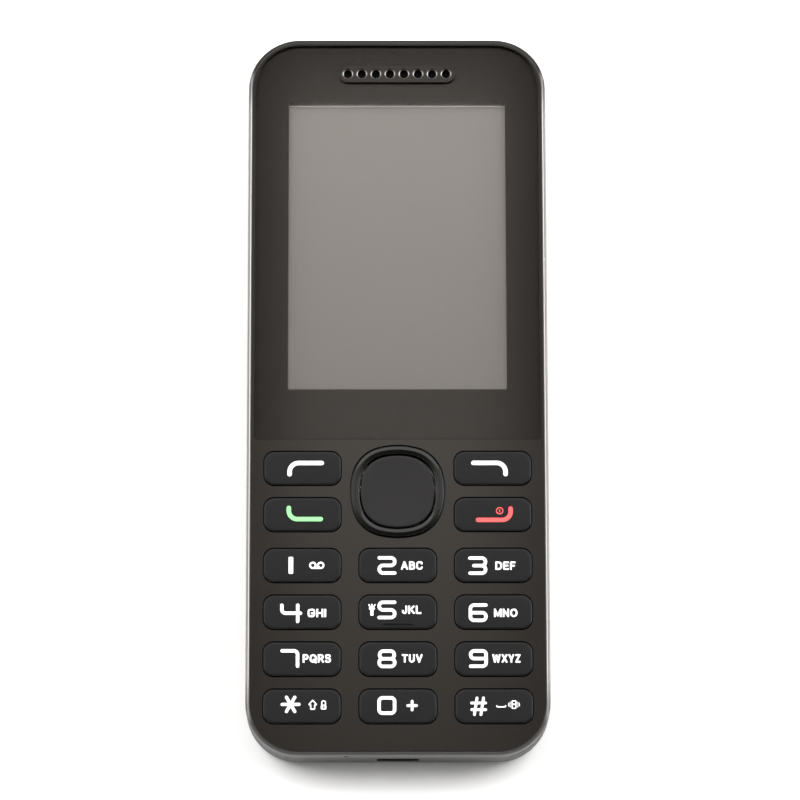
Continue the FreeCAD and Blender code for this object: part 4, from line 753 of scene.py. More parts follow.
def piece(name, shape, slot, stands_for=None, body=None, crease=32):
    """Makes a shape into an object with its finish, on the body that it moves with."""
    mesh = bpy.data.meshes.new(name)
    mesh.from_pydata(shape.points, [], shape.faces)
    work = bmesh.new()
    work.from_mesh(mesh)
    bmesh.ops.remove_doubles(work, verts=work.verts, dist=1e-7)
    work.to_mesh(mesh)
    work.free()
    mesh.shade_smooth()
    mesh.set_sharp_from_angle(angle=radians(crease))
    mesh.materials.append(finish(slot))
    made = bpy.data.objects.new(name, mesh)
    bpy.context.scene.collection.objects.link(made)
    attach(made, body or BODY_OF[stands_for])
    if stands_for:
        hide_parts(stands_for)
    return made


def middle_of(node):
    """The middle of a node's box, across and along, and its lowest and highest level."""
    low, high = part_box(node)
    return ((low.x + high.x) / 2, (low.y + high.y) / 2), low.z, high.z


# Keys


PLUNGER_STEPS = 32
CREST_STEPS = 61
KEYS = [name for name in NODES if SLOT_OF[name] == "key_black" and name != "ok_key"]


def cap_drop(x, y, half_x, half_y, crown):
    """How far a cap lies below its middle: half the crown times the squared shares across and along."""
    return crown * ((x / half_x) ** 2 + (y / half_y) ** 2) / 2


def key_shape(node, sizes):
    """A key: a profile of flange, leaning wall, rounded edge and top, carried round the cap's outline.

    From the cap's foot up, each point is lowered by the cap's drop. A plunger stands behind the flange.
    """
    low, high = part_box(node)
    middle, foot, _ = middle_of(node)
    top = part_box("key_1")[1].z
    half_x = (high.x - low.x) / 2 - sizes.flange
    half_y = (high.y - low.y) / 2 - sizes.flange
    flange_low = foot + sizes.flange_rise
    flange_high = flange_low + sizes.flange_thickness
    across, up = arc_steps(sizes.edge, 0, 90, 5)
    edge = [(-sizes.draft - sizes.edge + a, top - sizes.edge + u, 1) for a, u in zip(across, up)]
    inner = -sizes.draft - sizes.edge
    lid = [(inner, top, part) for part in (0.9, 0.75, 0.55, 0.35, 0.15)]
    out = sizes.flange
    flange = [(out, flange_low, 0.5), (out, flange_low, 1), (out, flange_high, 1), (0, flange_high, 1)]
    rows = rings(rounded_outline(half_x, half_y, sizes.corner, middle), [*flange, *edge, *lid], middle)
    crowned = rows[len(flange):]
    from_middle = (crowned[..., axis] - middle[axis] for axis in (0, 1))
    crowned[..., 2] -= cap_drop(*from_middle, half_x, half_y, sizes.crown)
    shape = Shape().skin(rows)
    post = [(0, foot, 0.5), (0, foot, 1), (0, flange_low, 1), (0, flange_low, 0.5)]
    return shape.skin(rings(circle_outline(sizes.plunger, middle, PLUNGER_STEPS), post, middle))


def touch_bar(shape, sizes):
    """The raised bar on the middle key: a rounded strip that stands on the cap."""
    middle, _, top = middle_of("key_5")
    centre = (middle[0], middle[1] - sizes.bar_place)
    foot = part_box("key_1")[1].z - sizes.crown
    half = sizes.bar_width / 2
    across, up = arc_steps(half * 0.9, 0, 80, 5)
    steps = [(a - half, top - half * 0.9 + u, 1) for a, u in zip(across, up)]
    profile = [(0, foot, 1), *[(out, max(height, foot), part) for out, height, part in steps]]
    return shape.skin(rings(rounded_outline(sizes.bar_length / 2, half, half, centre), profile, centre))


class PHONE_OT_keys(bpy.types.Operator):
    """Make the sixteen keys, with a crowned cap each and the raised bar on the middle one"""

    bl_idname = "phone.keys"
    bl_label = "Keys"

    def execute(self, context):
        sizes = context.scene.phone_keypad
        for node in KEYS:
            shape = key_shape(node, sizes)
            if node == "key_5":
                touch_bar(shape, sizes)
            piece(node + "_cap", shape, "key_black", node)
        return {"FINISHED"}


# Navigation ring and its centre key


class PHONE_OT_ring(bpy.types.Operator):
    """Make the navigation ring and the centre key inside it"""

    bl_idname = "phone.ring"
    bl_label = "Navigation ring"

    def execute(self, context):
        sizes = context.scene.phone_keypad
        piece("nav_ring_ridge", self.ridge(sizes), "ring_black", "nav_ring")
        piece("ok_key_cap", self.centre_key(sizes), "centre_black", "ok_key")
        return {"FINISHED"}

    def ridge(self, sizes):
        """The ring: its section goes out along the flange, up the wall, over the crest and down inside.

        Over the crest, height falls from the ridge line by the crest's rise times the share across to the
        power 1.3. Near its edges it falls on by the edge's radius, as a quarter circle does.
        """
        middle, low, top = middle_of("nav_ring")
        flange = (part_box("nav_ring")[1].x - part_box("nav_ring")[0].x) / 2 - sizes.ring_half
        shoulder = low + sizes.flange_thickness
        across = np.sin(np.linspace(pi / 2, -pi / 2, CREST_STEPS))
        half = sizes.ring_band / 2
        past = (half * (np.abs(across) - 1) / sizes.ring_edge + 1).clip(0)
        edge = sizes.ring_edge * (1 - np.sqrt(1 - past**2))
        height = top - sizes.ring_crest * np.abs(across) ** 1.3 - edge
        crest = [(half * (a - 1), level, 1) for a, level in zip(across, height)]
        foot = [(-sizes.ring_band, low, 1), (flange, low, 1), (flange, shoulder, 1), (0, shoulder, 1)]
        section = [*foot, *crest]
        return Shape().skin(rings(cushion_outline(sizes.ring_half, middle), section, middle), joined=True)

    def centre_key(self, sizes):
        """The centre key: a plunger, and a cap with a rounded edge and a dish, deepest in the middle."""
        middle, foot, top = middle_of("ok_key")
        low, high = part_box("ok_key")
        half = (high.x - low.x) / 2
        cap_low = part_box("nav_ring")[0].z
        across, up = arc_steps(sizes.edge, 0, 90, 5)
        edge = [(a - sizes.edge, top - sizes.edge + u, 1) for a, u in zip(across, up)]
        parts = np.array([0.94, 0.85, 0.7, 0.5, 0.3, 0.1])
        dish = [(-sizes.edge, top - sizes.ok_dish * (1 - part**2), part) for part in parts]
        profile = [(0, cap_low, 0.5), (0, cap_low, 1), *edge, *dish]
        shape = Shape().skin(rings(cushion_outline(half, middle), profile, middle))
        post = [(0, foot, 0.5), (0, foot, 1), (0, cap_low, 1), (0, cap_low, 0.5)]
        return shape.skin(rings(circle_outline(sizes.plunger, middle, PLUNGER_STEPS), post, middle))


# Legends


def rounded_path(corners, radius, closed=False, steps=8):
    """Points along straight runs whose turns are arcs.

    A turn by an angle starts the radius times the tangent of half the angle before its corner. Its points
    go round a middle that lies one radius to the side of the run that comes in, and turn evenly through
    the angle. A radius is never so large that its turn takes more than half of a run, or all of a run
    that ends the path. Where two turns meet, the point that they share is kept once.
    """
    corners = np.asarray(corners, float)
    into = corners - np.roll(corners, 1, 0)
    length = np.linalg.norm(into, axis=1)
    into /= length[:, None]
    out = np.roll(into, -1, 0)
    room = length / 2
    if not closed:
        room[[1, -1]] = length[[1, -1]] * 0.98
    turn = np.arctan2(into[:, 0] * out[:, 1] - into[:, 1] * out[:, 0], (into * out).sum(1))
    half_turn = np.tan(np.abs(turn) / 2).clip(1e-9)
    radius = np.minimum(radius, np.minimum(room, np.roll(room, -1)) / half_turn)[:, None]
    side = np.sign(turn)[:, None] * np.stack([-into[:, 1], into[:, 0]], 1)
    middle = corners - into * radius * half_turn[:, None] + radius * side
    turned = turn[:, None] * np.linspace(0, 1, steps + 1)
    arm = -radius[:, None] * side[:, None]
    swung = np.stack([
        arm[..., 0] * np.cos(turned) - arm[..., 1] * np.sin(turned),
        arm[..., 0] * np.sin(turned) + arm[..., 1] * np.cos(turned),
    ], -1)
    points = (middle[:, None] + swung).reshape(-1, 2)
    if not closed:
        points = np.concatenate([corners[:1], points[steps + 1:-steps - 1], corners[-1:]])
    return points[np.linalg.norm(points - np.roll(points, 1, 0), axis=1) > 1e-9]


def stroke_rows(path, width, closed=False, blunt=2.0):
    """Left and right edges of a line of even width along a path, as rows of two points.

    The edges lie half the width to either side, and further out at a corner, by one over the cosine of
    half its turn. At an open end, the width falls with distance past the end like a superellipse of the
    power blunt.
    """
    ahead = np.roll(path, -1, 0) - path
    if not closed:
        ahead[-1] = ahead[-2]
    ahead /= np.linalg.norm(ahead, axis=1, keepdims=True)
    behind = np.roll(ahead, 1, 0)
    if not closed:
        behind[0] = ahead[0]
    along = ahead + behind
    along /= np.linalg.norm(along, axis=1, keepdims=True)
    half = width / 2 / (along * ahead).sum(1)
    if not closed:
        past = np.sin(np.linspace(0, pi / 2, 9))[1:]
        shrink = (1 - past**blunt).clip(0) ** (1 / blunt)
        head = path[0] - along[0] * (past[::-1, None] * width / 2)
        tail = path[-1] + along[-1] * (past[:, None] * width / 2)
        path = np.concatenate([head, path, tail])
        half = np.concatenate([shrink[::-1] * width / 2, half, shrink * width / 2])
        along = np.concatenate([np.repeat(along[:1], 8, 0), along, np.repeat(along[-1:], 8, 0)])
    side = np.stack([-along[:, 1], along[:, 0]], 1) * half[:, None]
    return np.stack([path + side, path - side], 1)


class Legend:
    """Ink on one key, printed stroke by stroke and draped over the key's crowned cap."""

    def __init__(self, node, sizes):
        low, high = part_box(node)
        self.middle = np.array(middle_of(node)[0])
        self.half = np.array([high.x - low.x, high.y - low.y]) / 2 - sizes.flange
        self.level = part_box("key_1")[1].z
        self.sizes = sizes
        self.layers = 0
        self.shape = Shape()

    def raised(self, flat, height):
        """Flat points moved to the key, at a height over its cap."""
        x, y = flat[..., 0], flat[..., 1]
        level = self.level - cap_drop(x, y, *self.half, self.sizes.crown) + height
        return np.concatenate([flat + self.middle, level[..., None]], -1)

    def stroke(self, corners, width, radius=0.05, closed=False, blunt=2.0):
        """A line in millimetres. Each ends a little higher than the last, so that no two lie level."""
        path = rounded_path(np.asarray(corners, float) * MM, radius * MM, closed)
        edges = stroke_rows(path, width * MM, closed, blunt)
        self.layers += 1
        top = self.raised(edges, self.sizes.ink * (1 + 0.06 * self.layers))
        foot = self.raised(edges, -self.sizes.ink)
        self.shape.skin(np.stack([foot[:, 0], top[:, 0], top[:, 1], foot[:, 1]], 1), closed)

    def ring(self, middle, radius, width):
        """A thin ring: a square path whose corners are rounded until they meet."""
        x, y = middle
        square = [(x + radius * a, y + radius * b) for a, b in ((1, 1), (-1, 1), (-1, -1), (1, -1))]
        self.stroke(square, width, radius * 0.999, closed=True)

    def digit(self, middle, runs):
        """A digit of runs on a square from -1 to 1, whose turns all have one radius."""
        half = self.sizes.digit / MM
        for corners in runs:
            closed = corners[0] == corners[-1]
            placed = np.array(corners[:-1] if closed else corners, float) * half + middle
            self.stroke(placed, self.sizes.digit_stroke / MM, self.sizes.digit_turn / MM, closed)

    def letters(self, text, left, right, foot):
        """Capitals between two places across the key, standing on a line foot millimetres above its middle.

        What is left of the room after the lines' own width and the gaps is shared out by the letters'
        widths.
        """
        width, high = self.sizes.letter_stroke / MM, self.sizes.letter / MM
        gap = self.sizes.letter_gap / MM
        wide = sum(LETTER_FORMS[letter][0] for letter in text)
        unit = (right - left - len(text) * width - (len(text) - 1) * gap) / wide
        x = left + width / 2
        for letter in text:
            share_wide, radius, runs = LETTER_FORMS[letter]
            for corners in runs:
                closed = len(corners) > 2 and corners[0] == corners[-1]
                drawn = np.array(corners[:-1] if closed else corners, float) * [unit, high - width]
                self.stroke(drawn + [x, foot + width / 2], width, radius, closed, blunt=4.5)
            x += share_wide * unit + width + gap


# Letters by their width, the radius of their turns and their lines, on a height from 0 to 1

LETTER_FORMS = {
    "A": (0.95, 0.02, [[(0, 0), (0.47, 1)], [(0.48, 1), (0.95, 0)], [(0.2, 0.3), (0.75, 0.3)]]),
    "B": (0.78, 0.24, [
        [(0, 0), (0, 1)],
        [(0, 1), (0.7, 1), (0.7, 0.53), (0, 0.53)],
        [(0, 0.53), (0.78, 0.53), (0.78, 0), (0, 0)],
    ]),
    "C": (0.85, 0.34, [[(0.85, 0.80), (0.85, 1), (0, 1), (0, 0), (0.85, 0), (0.85, 0.20)]]),
    "D": (0.82, 0.42, [[(0, 0), (0, 1)], [(0, 1), (0.82, 1), (0.82, 0), (0, 0)]]),
    "E": (0.66, 0.02, [[(0.66, 1), (0, 1), (0, 0), (0.66, 0)], [(0, 0.52), (0.58, 0.52)]]),
    "F": (0.62, 0.02, [[(0.62, 1), (0, 1), (0, 0)], [(0, 0.5), (0.52, 0.5)]]),
    "G": (0.88, 0.34, [
        [(0.86, 0.80), (0.86, 1), (0, 1), (0, 0), (0.88, 0), (0.88, 0.45)], [(0.88, 0.45), (0.5, 0.45)]
    ]),
    "H": (0.78, 0.02, [[(0, 0), (0, 1)], [(0.78, 0), (0.78, 1)], [(0, 0.51), (0.78, 0.51)]]),
    "I": (0.0, 0.02, [[(0, 0), (0, 1)]]),
    "J": (0.55, 0.26, [[(0.55, 1), (0.55, 0), (0, 0), (0, 0.33)]]),
    "K": (0.78, 0.02, [[(0, 0), (0, 1)], [(0, 0.36), (0.74, 1)], [(0.28, 0.58), (0.78, 0)]]),
    "L": (0.62, 0.02, [[(0, 1), (0, 0), (0.62, 0)]]),
    "M": (1.0, 0.02, [
        [(0, 0), (0, 1)], [(0.02, 0.98), (0.5, 0.1)], [(0.5, 0.1), (0.98, 0.98)], [(1, 0), (1, 1)]
    ]),
    "N": (0.8, 0.02, [[(0, 0), (0, 1)], [(0.02, 0.97), (0.78, 0.03)], [(0.8, 0), (0.8, 1)]]),
    "O": (0.95, 0.46, [[(0, 0), (0, 1), (0.95, 1), (0.95, 0), (0, 0)]]),
    "P": (0.74, 0.25, [[(0, 0), (0, 1)], [(0, 1), (0.74, 1), (0.74, 0.45), (0, 0.45)]]),
    "Q": (0.95, 0.46, [[(0, 0), (0, 1), (0.95, 1), (0.95, 0), (0, 0)], [(0.56, 0.3), (0.98, -0.08)]]),
    "R": (0.78, 0.25, [
        [(0, 0), (0, 1)], [(0, 1), (0.74, 1), (0.74, 0.47), (0, 0.47)], [(0.42, 0.45), (0.8, 0)]
    ]),
    "S": (0.76, 0.24, [
        [(0.73, 0.84), (0.73, 1), (0.02, 1), (0.02, 0.52), (0.76, 0.52), (0.76, 0), (0, 0), (0, 0.16)]
    ]),
    "T": (0.8, 0.02, [[(0, 1), (0.8, 1)], [(0.4, 1), (0.4, 0)]]),
    "U": (0.8, 0.38, [[(0, 1), (0, 0), (0.8, 0), (0.8, 1)]]),
    "V": (0.92, 0.02, [[(0, 1), (0.45, 0)], [(0.92, 1), (0.47, 0)]]),
    "W": (1.4, 0.02, [
        [(0, 1), (0.34, 0)], [(0.36, 0), (0.69, 0.95)], [(0.71, 0.95), (1.04, 0)], [(1.06, 0), (1.4, 1)]
    ]),
    "X": (0.84, 0.02, [[(0, 0), (0.84, 1)], [(0, 1), (0.84, 0)]]),
    "Y": (0.86, 0.02, [[(0, 1), (0.43, 0.42)], [(0.86, 1), (0.43, 0.42)], [(0.43, 0.45), (0.43, 0)]]),
    "Z": (0.74, 0.02, [[(0.02, 1), (0.72, 1)], [(0.72, 0.98), (0.02, 0.02)], [(0.02, 0), (0.74, 0)]]),
}

# Digits by their middle on the key and their lines. Letters by where they start, end and stand on the key

DIGITS = {
    "0": ((-1.85, 0.11), [[(-1, 1), (1, 1), (1, -1), (-1, -1), (-1, 1)]]),
    "2": ((-1.80, -0.04), [[(-1, 1), (1, 1), (1, 0), (-1, 0), (-1, -1), (1, -1)]]),
    "3": ((-2.59, -0.09), [[(-1, 1), (1, 1), (1, 0), (-0.5, 0)], [(-0.5, 0), (1, 0), (1, -1), (-1, -1)]]),
    "4": ((-2.02, -0.17), [[(-1.05, 1.02), (-1.05, -0.02), (1.35, -0.02)], [(1, 1.02), (1, -1.1)]]),
    "5": ((-1.82, 0.35), [[(1, 1), (-1, 1), (-1, 0), (1, 0), (1, -1), (-1, -1)]]),
    "6": ((-2.57, -0.14), [[(1, 1), (-1, 1), (-1, -1), (1, -1), (1, 0), (-0.95, 0)]]),
    "7": ((-2.02, 0.10), [[(-1, 1), (1, 1), (1, -1)]]),
    "8": ((-1.82, 0.03), [
        [(-0.94, 1), (0.94, 1), (0.94, 0), (-0.94, 0), (-0.94, 1)],
        [(-1, 0), (1, 0), (1, -1), (-1, -1), (-1, 0)],
    ]),
    "9": ((-2.57, 0.05), [[(0.95, 0), (-1, 0), (-1, 1), (1, 1), (1, -1), (-1, -1)]]),
}
LETTERS = {
    "2": ("ABC", 0.53, 4.17, -0.76), "3": ("DEF", 0.35, 3.72, -0.81), "4": ("GHI", 0.92, 4.02, -0.88),
    "5": ("JKL", 0.70, 3.92, -0.34), "6": ("MNO", 0.08, 3.99, -0.88), "7": ("PQRS", 0.12, 4.82, -0.62),
    "8": ("TUV", 0.65, 4.09, -0.62), "9": ("WXYZ", -0.25, 4.45, -0.64),
}


def soft_mark(legend, side):
    """A line along the top of a soft key that bends down at its outer end."""
    legend.stroke([(side * 2.17, -1.04), (side * 2.17, 0.88), (side * -3.22, 0.88)], 0.74, 1.5)


def send_mark(legend):
    """A resting handset: a line that rises at its left end."""
    legend.stroke([(-2.28, 1.12), (-2.28, -0.80), (3.07, -0.80)], 0.74, 1.42)


def end_mark(legend):
    """The same handset turned round, with a small ring and bar for the power."""
    legend.stroke([(-2.50, -0.96), (2.98, -0.96), (2.98, 0.97)], 0.74, 1.42)
    legend.ring((1.13, 0.61), 0.54, 0.17)
    legend.stroke([(1.13, 0.42), (1.13, 0.78)], 0.19)


def one_mark(legend):
    """The digit 1, and two rings on a line for recorded messages."""
    legend.stroke([(-1.90, 1.04), (-1.90, -1.07)], 0.77, blunt=5)
    for x in (1.77, 3.09):
        legend.ring((x, -0.01), 0.46, 0.30)
    legend.stroke([(1.77, -0.47), (3.09, -0.47)], 0.30)


def torch_mark(legend):
    """A hand torch with three rays over it."""
    legend.stroke([(-4.62, 0.92), (-4.84, 1.22)], 0.2)
    legend.stroke([(-4.32, 0.97), (-4.32, 1.29)], 0.2)
    legend.stroke([(-4.02, 0.92), (-3.80, 1.22)], 0.2)
    legend.stroke([(-4.62, 0.58), (-4.02, 0.58)], 0.42)
    legend.stroke([(-4.32, 0.42), (-4.32, -0.38)], 0.5, blunt=4)


def star_mark(legend):
    """Three lines that cross, a raised arrow and a padlock."""
    for turned in (0, 60, 120):
        x, y = 1.38 * cos(radians(turned)), 1.38 * sin(radians(turned))
        legend.stroke([(-1.86 - x, 0.31 - y), (-1.86 + x, 0.31 + y)], 0.52)
    arrow = [
        (0, 0.78), (0.68, 0.02), (0.33, 0.02), (0.33, -0.70), (-0.33, -0.70), (-0.33, 0.02), (-0.68, 0.02),
    ]
    legend.stroke([(1.81 + x, 0.22 + y) for x, y in arrow], 0.20, 0.06, closed=True)
    legend.stroke([(3.31, 0.3), (3.31, 0.88), (3.93, 0.88), (3.93, 0.3)], 0.20, 0.28)
    legend.stroke([(3.30, 0.12), (3.94, 0.12), (3.94, -0.42), (3.30, -0.42)], 0.27, 0.05, closed=True)


def plus_mark(legend):
    """A plus sign."""
    legend.stroke([(1.63, 0.09), (3.07, 0.09)], 0.45)
    legend.stroke([(2.35, 0.81), (2.35, -0.63)], 0.45)


def hash_mark(legend):
    """Two lines across and two that lean, a shallow cup for the space, and a phone that shakes."""
    for y in (0.52, -0.60):
        legend.stroke([(-3.72, y), (-1.42, y)], 0.44)
    for x in (-3.06, -1.98):
        legend.stroke([(x - 0.22, -1.42), (x + 0.22, 1.36)], 0.45)
    legend.stroke([(0.45, 0.05), (0.45, -0.14), (1.90, -0.14), (1.90, 0.05)], 0.20, 0.15)
    legend.stroke([(2.98, 0.86), (3.62, 0.86), (3.62, -0.38), (2.98, -0.38)], 0.17, 0.1, closed=True)
    legend.stroke([(3.20, 0.3), (3.40, 0.3)], 0.22)
    for side in (-1, 1):
        for reach, half in ((0.62, 0.42), (0.88, 0.26)):
            x = 3.30 + side * reach
            legend.stroke([(x, 0.24 - half), (x + side * 0.06, 0.24), (x, 0.24 + half)], 0.11, 0.05)


MARKS = {
    "soft_key_left": lambda legend: soft_mark(legend, -1),
    "soft_key_right": lambda legend: soft_mark(legend, 1),
    "send_key": send_mark, "end_key": end_mark, "key_1": one_mark, "key_5": torch_mark,
    "key_star": star_mark, "key_0": plus_mark, "key_hash": hash_mark,
}
INKS = {"send_key": "green_ink", "end_key": "red_ink"}


class PHONE_OT_legends(bpy.types.Operator):
    """Print the digits, letters and marks on the keys, as a thin layer of ink that follows each cap"""

    bl_idname = "phone.legends"
    bl_label = "Legends"

    def execute(self, context):
        sizes = context.scene.phone_keypad
        for node in KEYS:
            legend = Legend(node, sizes)
            digit = node.removeprefix("key_")
            if digit in DIGITS:
                legend.digit(*DIGITS[digit])
            if digit in LETTERS:
                legend.letters(*LETTERS[digit])
            if node in MARKS:
                MARKS[node](legend)
            piece(node + "_legend", legend.shape, INKS.get(node, "white_ink"), body=BODY_OF[node])
        return {"FINISHED"}


# Screen, camera and torch


def slab(span_x, span_y, span_z, corner=0.0, edge=0.0, steps=3):
    """A plate with rounded corners, whose edges are rounded above and below."""
    middle = (sum(span_x) / 2, sum(span_y) / 2)
    half_x = (span_x[1] - span_x[0]) / 2
    half_y = (span_y[1] - span_y[0]) / 2
    across, up = arc_steps(edge, 0, 90, steps)
    upper = [(a - edge, span_z[1] - edge + u, 1) for a, u in zip(across, up)]
    lower = [(a - edge, span_z[0] + edge - u, 1) for a, u in zip(across[::-1], up[::-1])]
    profile = [(-edge, span_z[0], 0.5), *lower, *upper, (-edge, span_z[1], 0.5)]
    return rings(rounded_outline(half_x, half_y, max(corner, edge + 1e-6), middle, 6), profile, middle)


class PHONE_OT_screen(bpy.types.Operator):
    """Make the satin film over the screen's picture area"""

    bl_idname = "phone.screen"
    bl_label = "Screen film"

    def execute(self, context):
        sizes = context.scene.phone_parts
        low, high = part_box("lcd_panel")
        side = sizes.screen_side
        foot = low.y + 2 * MM
        level = (high.z - sizes.film, high.z + sizes.film)
        rows = slab((-side, side), (foot, sizes.screen_top), level, 0.1 * MM)
        piece("screen_film", Shape().skin(rows), "screen_film", body=BODY_OF["lcd_panel"])
        return {"FINISHED"}


SOUND_HOLES = 8


class PHONE_OT_earpiece(bpy.types.Operator):
    """Make the bright rims that line the funnels of the eight sound holes"""

    bl_idname = "phone.earpiece"
    bl_label = "Sound holes"

    def execute(self, context):
        """Each rim's section runs down a slope from outside to inside, and back up under the slope."""
        sizes = context.scene.phone_parts
        middle, _, top = middle_of("earpiece_grille")
        outer, inner, drop = sizes.rim_outside, sizes.rim_inside, sizes.rim_drop
        lip = 0.03 * MM
        section = [(outer, -lip), (outer, lip / 3), (inner + lip, lip - drop), (inner, -drop)]
        section += [(inner, -drop - 3 * lip), (inner + lip, -drop - 3 * lip)]
        shape = Shape()
        for number in range(SOUND_HOLES):
            centre = (middle[0] + (number - (SOUND_HOLES - 1) / 2) * sizes.hole_pitch, middle[1])
            profile = [(reach - outer, top + height, 1) for reach, height in section]
            shape.skin(rings(circle_outline(outer, centre, sizes.turns), profile, centre), joined=True)
        piece("earpiece_rims", shape, "bright_rim", body=BODY_OF["earpiece_grille"])
        return {"FINISHED"}


class PHONE_OT_optics(bpy.types.Operator):
    """Make the camera's stepped barrel and front glass, and the ringed lens of the torch"""

    bl_idname = "phone.optics"
    bl_label = "Camera and torch"

    def execute(self, context):
        sizes = context.scene.phone_parts
        middle, _, _ = middle_of("camera_ring")
        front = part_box("camera_module")[0].z
        self.barrel(sizes, middle, front)
        self.dome(sizes, middle, front)
        self.torch(sizes)
        return {"FINISHED"}

    def barrel(self, sizes, middle, level):
        """Three steps that narrow into the camera's pupil, each a low cone."""
        pupil = sizes.pupil
        reach = np.array([1.0, 1.0, 0.86, 0.84, 0.72, 0.70]) * pupil - 0.02 * MM
        depth = np.array([0.62, 0.02, 0.05, 0.20, 0.23, 0.40]) * pupil * 0.5
        section = [(r - pupil, level + d, 1) for r, d in zip(reach, depth)]
        section.append((0.70 * pupil - 0.02 * MM - pupil, level + 0.31 * pupil, 1))
        rows = rings(circle_outline(pupil, middle, sizes.turns), section, middle)
        shape = Shape().skin(rows, joined=True)
        piece("camera_barrel", shape, "module_black", body=BODY_OF["camera_module"])

    def dome(self, sizes, middle, level):
        """A cap of glass that bulges backwards: depth falls with the square of the reach."""
        rim = sizes.pupil * 0.72
        parts = np.linspace(1, 0.08, 10)
        back = level + sizes.pupil * 0.45
        profile = [(0, back, 0.5), (0, back, 1)]
        profile += [(0, back - 0.1 * MM - sizes.dome * (1 - part**2), part) for part in parts]
        rows = rings(circle_outline(rim, middle, sizes.turns), profile, middle)
        piece("camera_glass", Shape().skin(rows), "coated_glass", body=BODY_OF["camera_module"])

    def torch(self, sizes):
        """A disc whose inner face sinks with a saw-tooth wave of its reach over the width of one groove."""
        middle, low, high = middle_of("torch_lens")
        box_low, box_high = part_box("torch_lens")
        radius = (box_high.x - box_low.x) / 2
        reach = np.arange(radius - 0.15 * MM, 0.1 * MM, -sizes.torch_groove / 8)
        tooth = (reach / sizes.torch_groove) % 1.0
        edge = 0.08 * MM
        profile = [(-edge, low, 0.5), (-edge, low, 1), (0, low + edge, 1), (0, high, 1)]
        profile += [(0, high - sizes.torch_relief * t, r / radius) for r, t in zip(reach, tooth)]
        rows = rings(circle_outline(radius, middle, sizes.turns), profile, middle)
        piece("torch_lens_rings", Shape().skin(rows), "torch_clear", "torch_lens")


# Screws


HEAD_STEPS = 64
SHANK_STEPS = 24
BETWEEN_SCREWS = np.array([-30, 30]) * MM


class PHONE_OT_screws(bpy.types.Operator):
    """Make the six housing screws, each with a cross in its head and a real thread"""

    bl_idname = "phone.screws"
    bl_label = "Screws"

    def execute(self, context):
        sizes = context.scene.phone_parts
        shape = Shape()
        for points in self.each_screw():
            low, high = points.min(0), points.max(0)
            middle = (low[:2] + high[:2]) / 2
            radius = (high[0] - low[0]) / 2
            thin = points[points[:, 2] > (low[2] + high[2]) / 2]
            shank = (thin[:, 0].max() - thin[:, 0].min()) / 2
            shoulder = points[np.hypot(*(points[:, :2] - middle).T) > shank * 1.2][:, 2].max()
            shape.skin(self.head(sizes, middle, radius, low[2], shoulder))
            shape.skin(self.shank(sizes, middle, shank, shoulder, high[2]))
        piece("housing_screw_set", shape, "screw_black", "housing_screws")
        return {"FINISHED"}

    def each_screw(self):
        """The frame's points of each screw: left or right, and below, between or above two places."""
        mesh = NODES["housing_screws"].data
        points = np.empty(len(mesh.vertices) * 3)
        mesh.vertices.foreach_get("co", points)
        points = points.reshape(-1, 3)
        third = np.digitize(points[:, 1], BETWEEN_SCREWS)
        for side in (points[:, 0] < 0, points[:, 0] > 0):
            for number in range(3):
                yield points[side & (third == number)]

    def head(self, sizes, middle, radius, low, high):
        """A low domed head, whose face lies on a grid of reach and turn and sinks where the cross runs.

        The sink is full inside an arm's half width and the cross's reach, and ramps to nothing just
        outside.
        """
        reach = np.concatenate([np.linspace(0.02, 0.86, 22), [0.94, 0.985, 1.0]])
        edge = 0.12 * MM
        outline = circle_outline(radius, middle, HEAD_STEPS)
        rows = rings(outline, [(0, low, part) for part in reach], middle)
        x, y = (rows[..., axis] - middle[axis] for axis in (0, 1))
        away = np.hypot(x, y)
        narrow = np.minimum(np.abs(x), np.abs(y))
        ramp = 0.05 * MM
        inside = np.clip((sizes.slot_width / 2 - narrow) / ramp, 0, 1)
        inside *= np.clip((sizes.slot_reach - away) / (2 * ramp), 0, 1)
        dome = edge * (away / radius) ** 4
        rows[..., 2] = low + np.maximum(dome, inside * sizes.slot_depth)
        return np.concatenate([rows, rings(outline, [(0, high, 1), (0, high, 0.5)], middle)])

    def shank(self, sizes, middle, radius, low, high):
        """A threaded shank: its radius dips with the squared wave of height over pitch less turn."""
        levels = np.linspace(low, high, 6 * int((high - low) / sizes.thread_pitch) + 1)
        _, outward = circle_outline(1.0, (0, 0), SHANK_STEPS)
        turned = np.arange(SHANK_STEPS) / SHANK_STEPS
        phase = (levels[:, None] - low) / sizes.thread_pitch - turned
        groove = sizes.thread_depth * (0.5 + 0.5 * np.cos(2 * pi * phase)) ** 2
        ease = np.clip((high - levels[:, None]) / (2 * sizes.thread_pitch), 0.35, 1)
        reach = (radius - groove) * (0.75 + 0.25 * ease)
        flat = np.asarray(middle) + reach[..., None] * outward
        return np.concatenate([flat, np.broadcast_to(levels[:, None, None], flat[..., :1].shape)], -1)


# Contacts and cards


def span(middle, width):
    """The low and the high end of a width about its middle."""
    return middle - width / 2, middle + width / 2


def pads(boxes, level, corner):
    """Thin plates with rounded corners, between two levels, one for each pair of spans across and along."""
    shape = Shape()
    for span_x, span_y in boxes:
        shape.skin(slab(span_x, span_y, level, corner, 0.01 * MM, 2))
    return shape


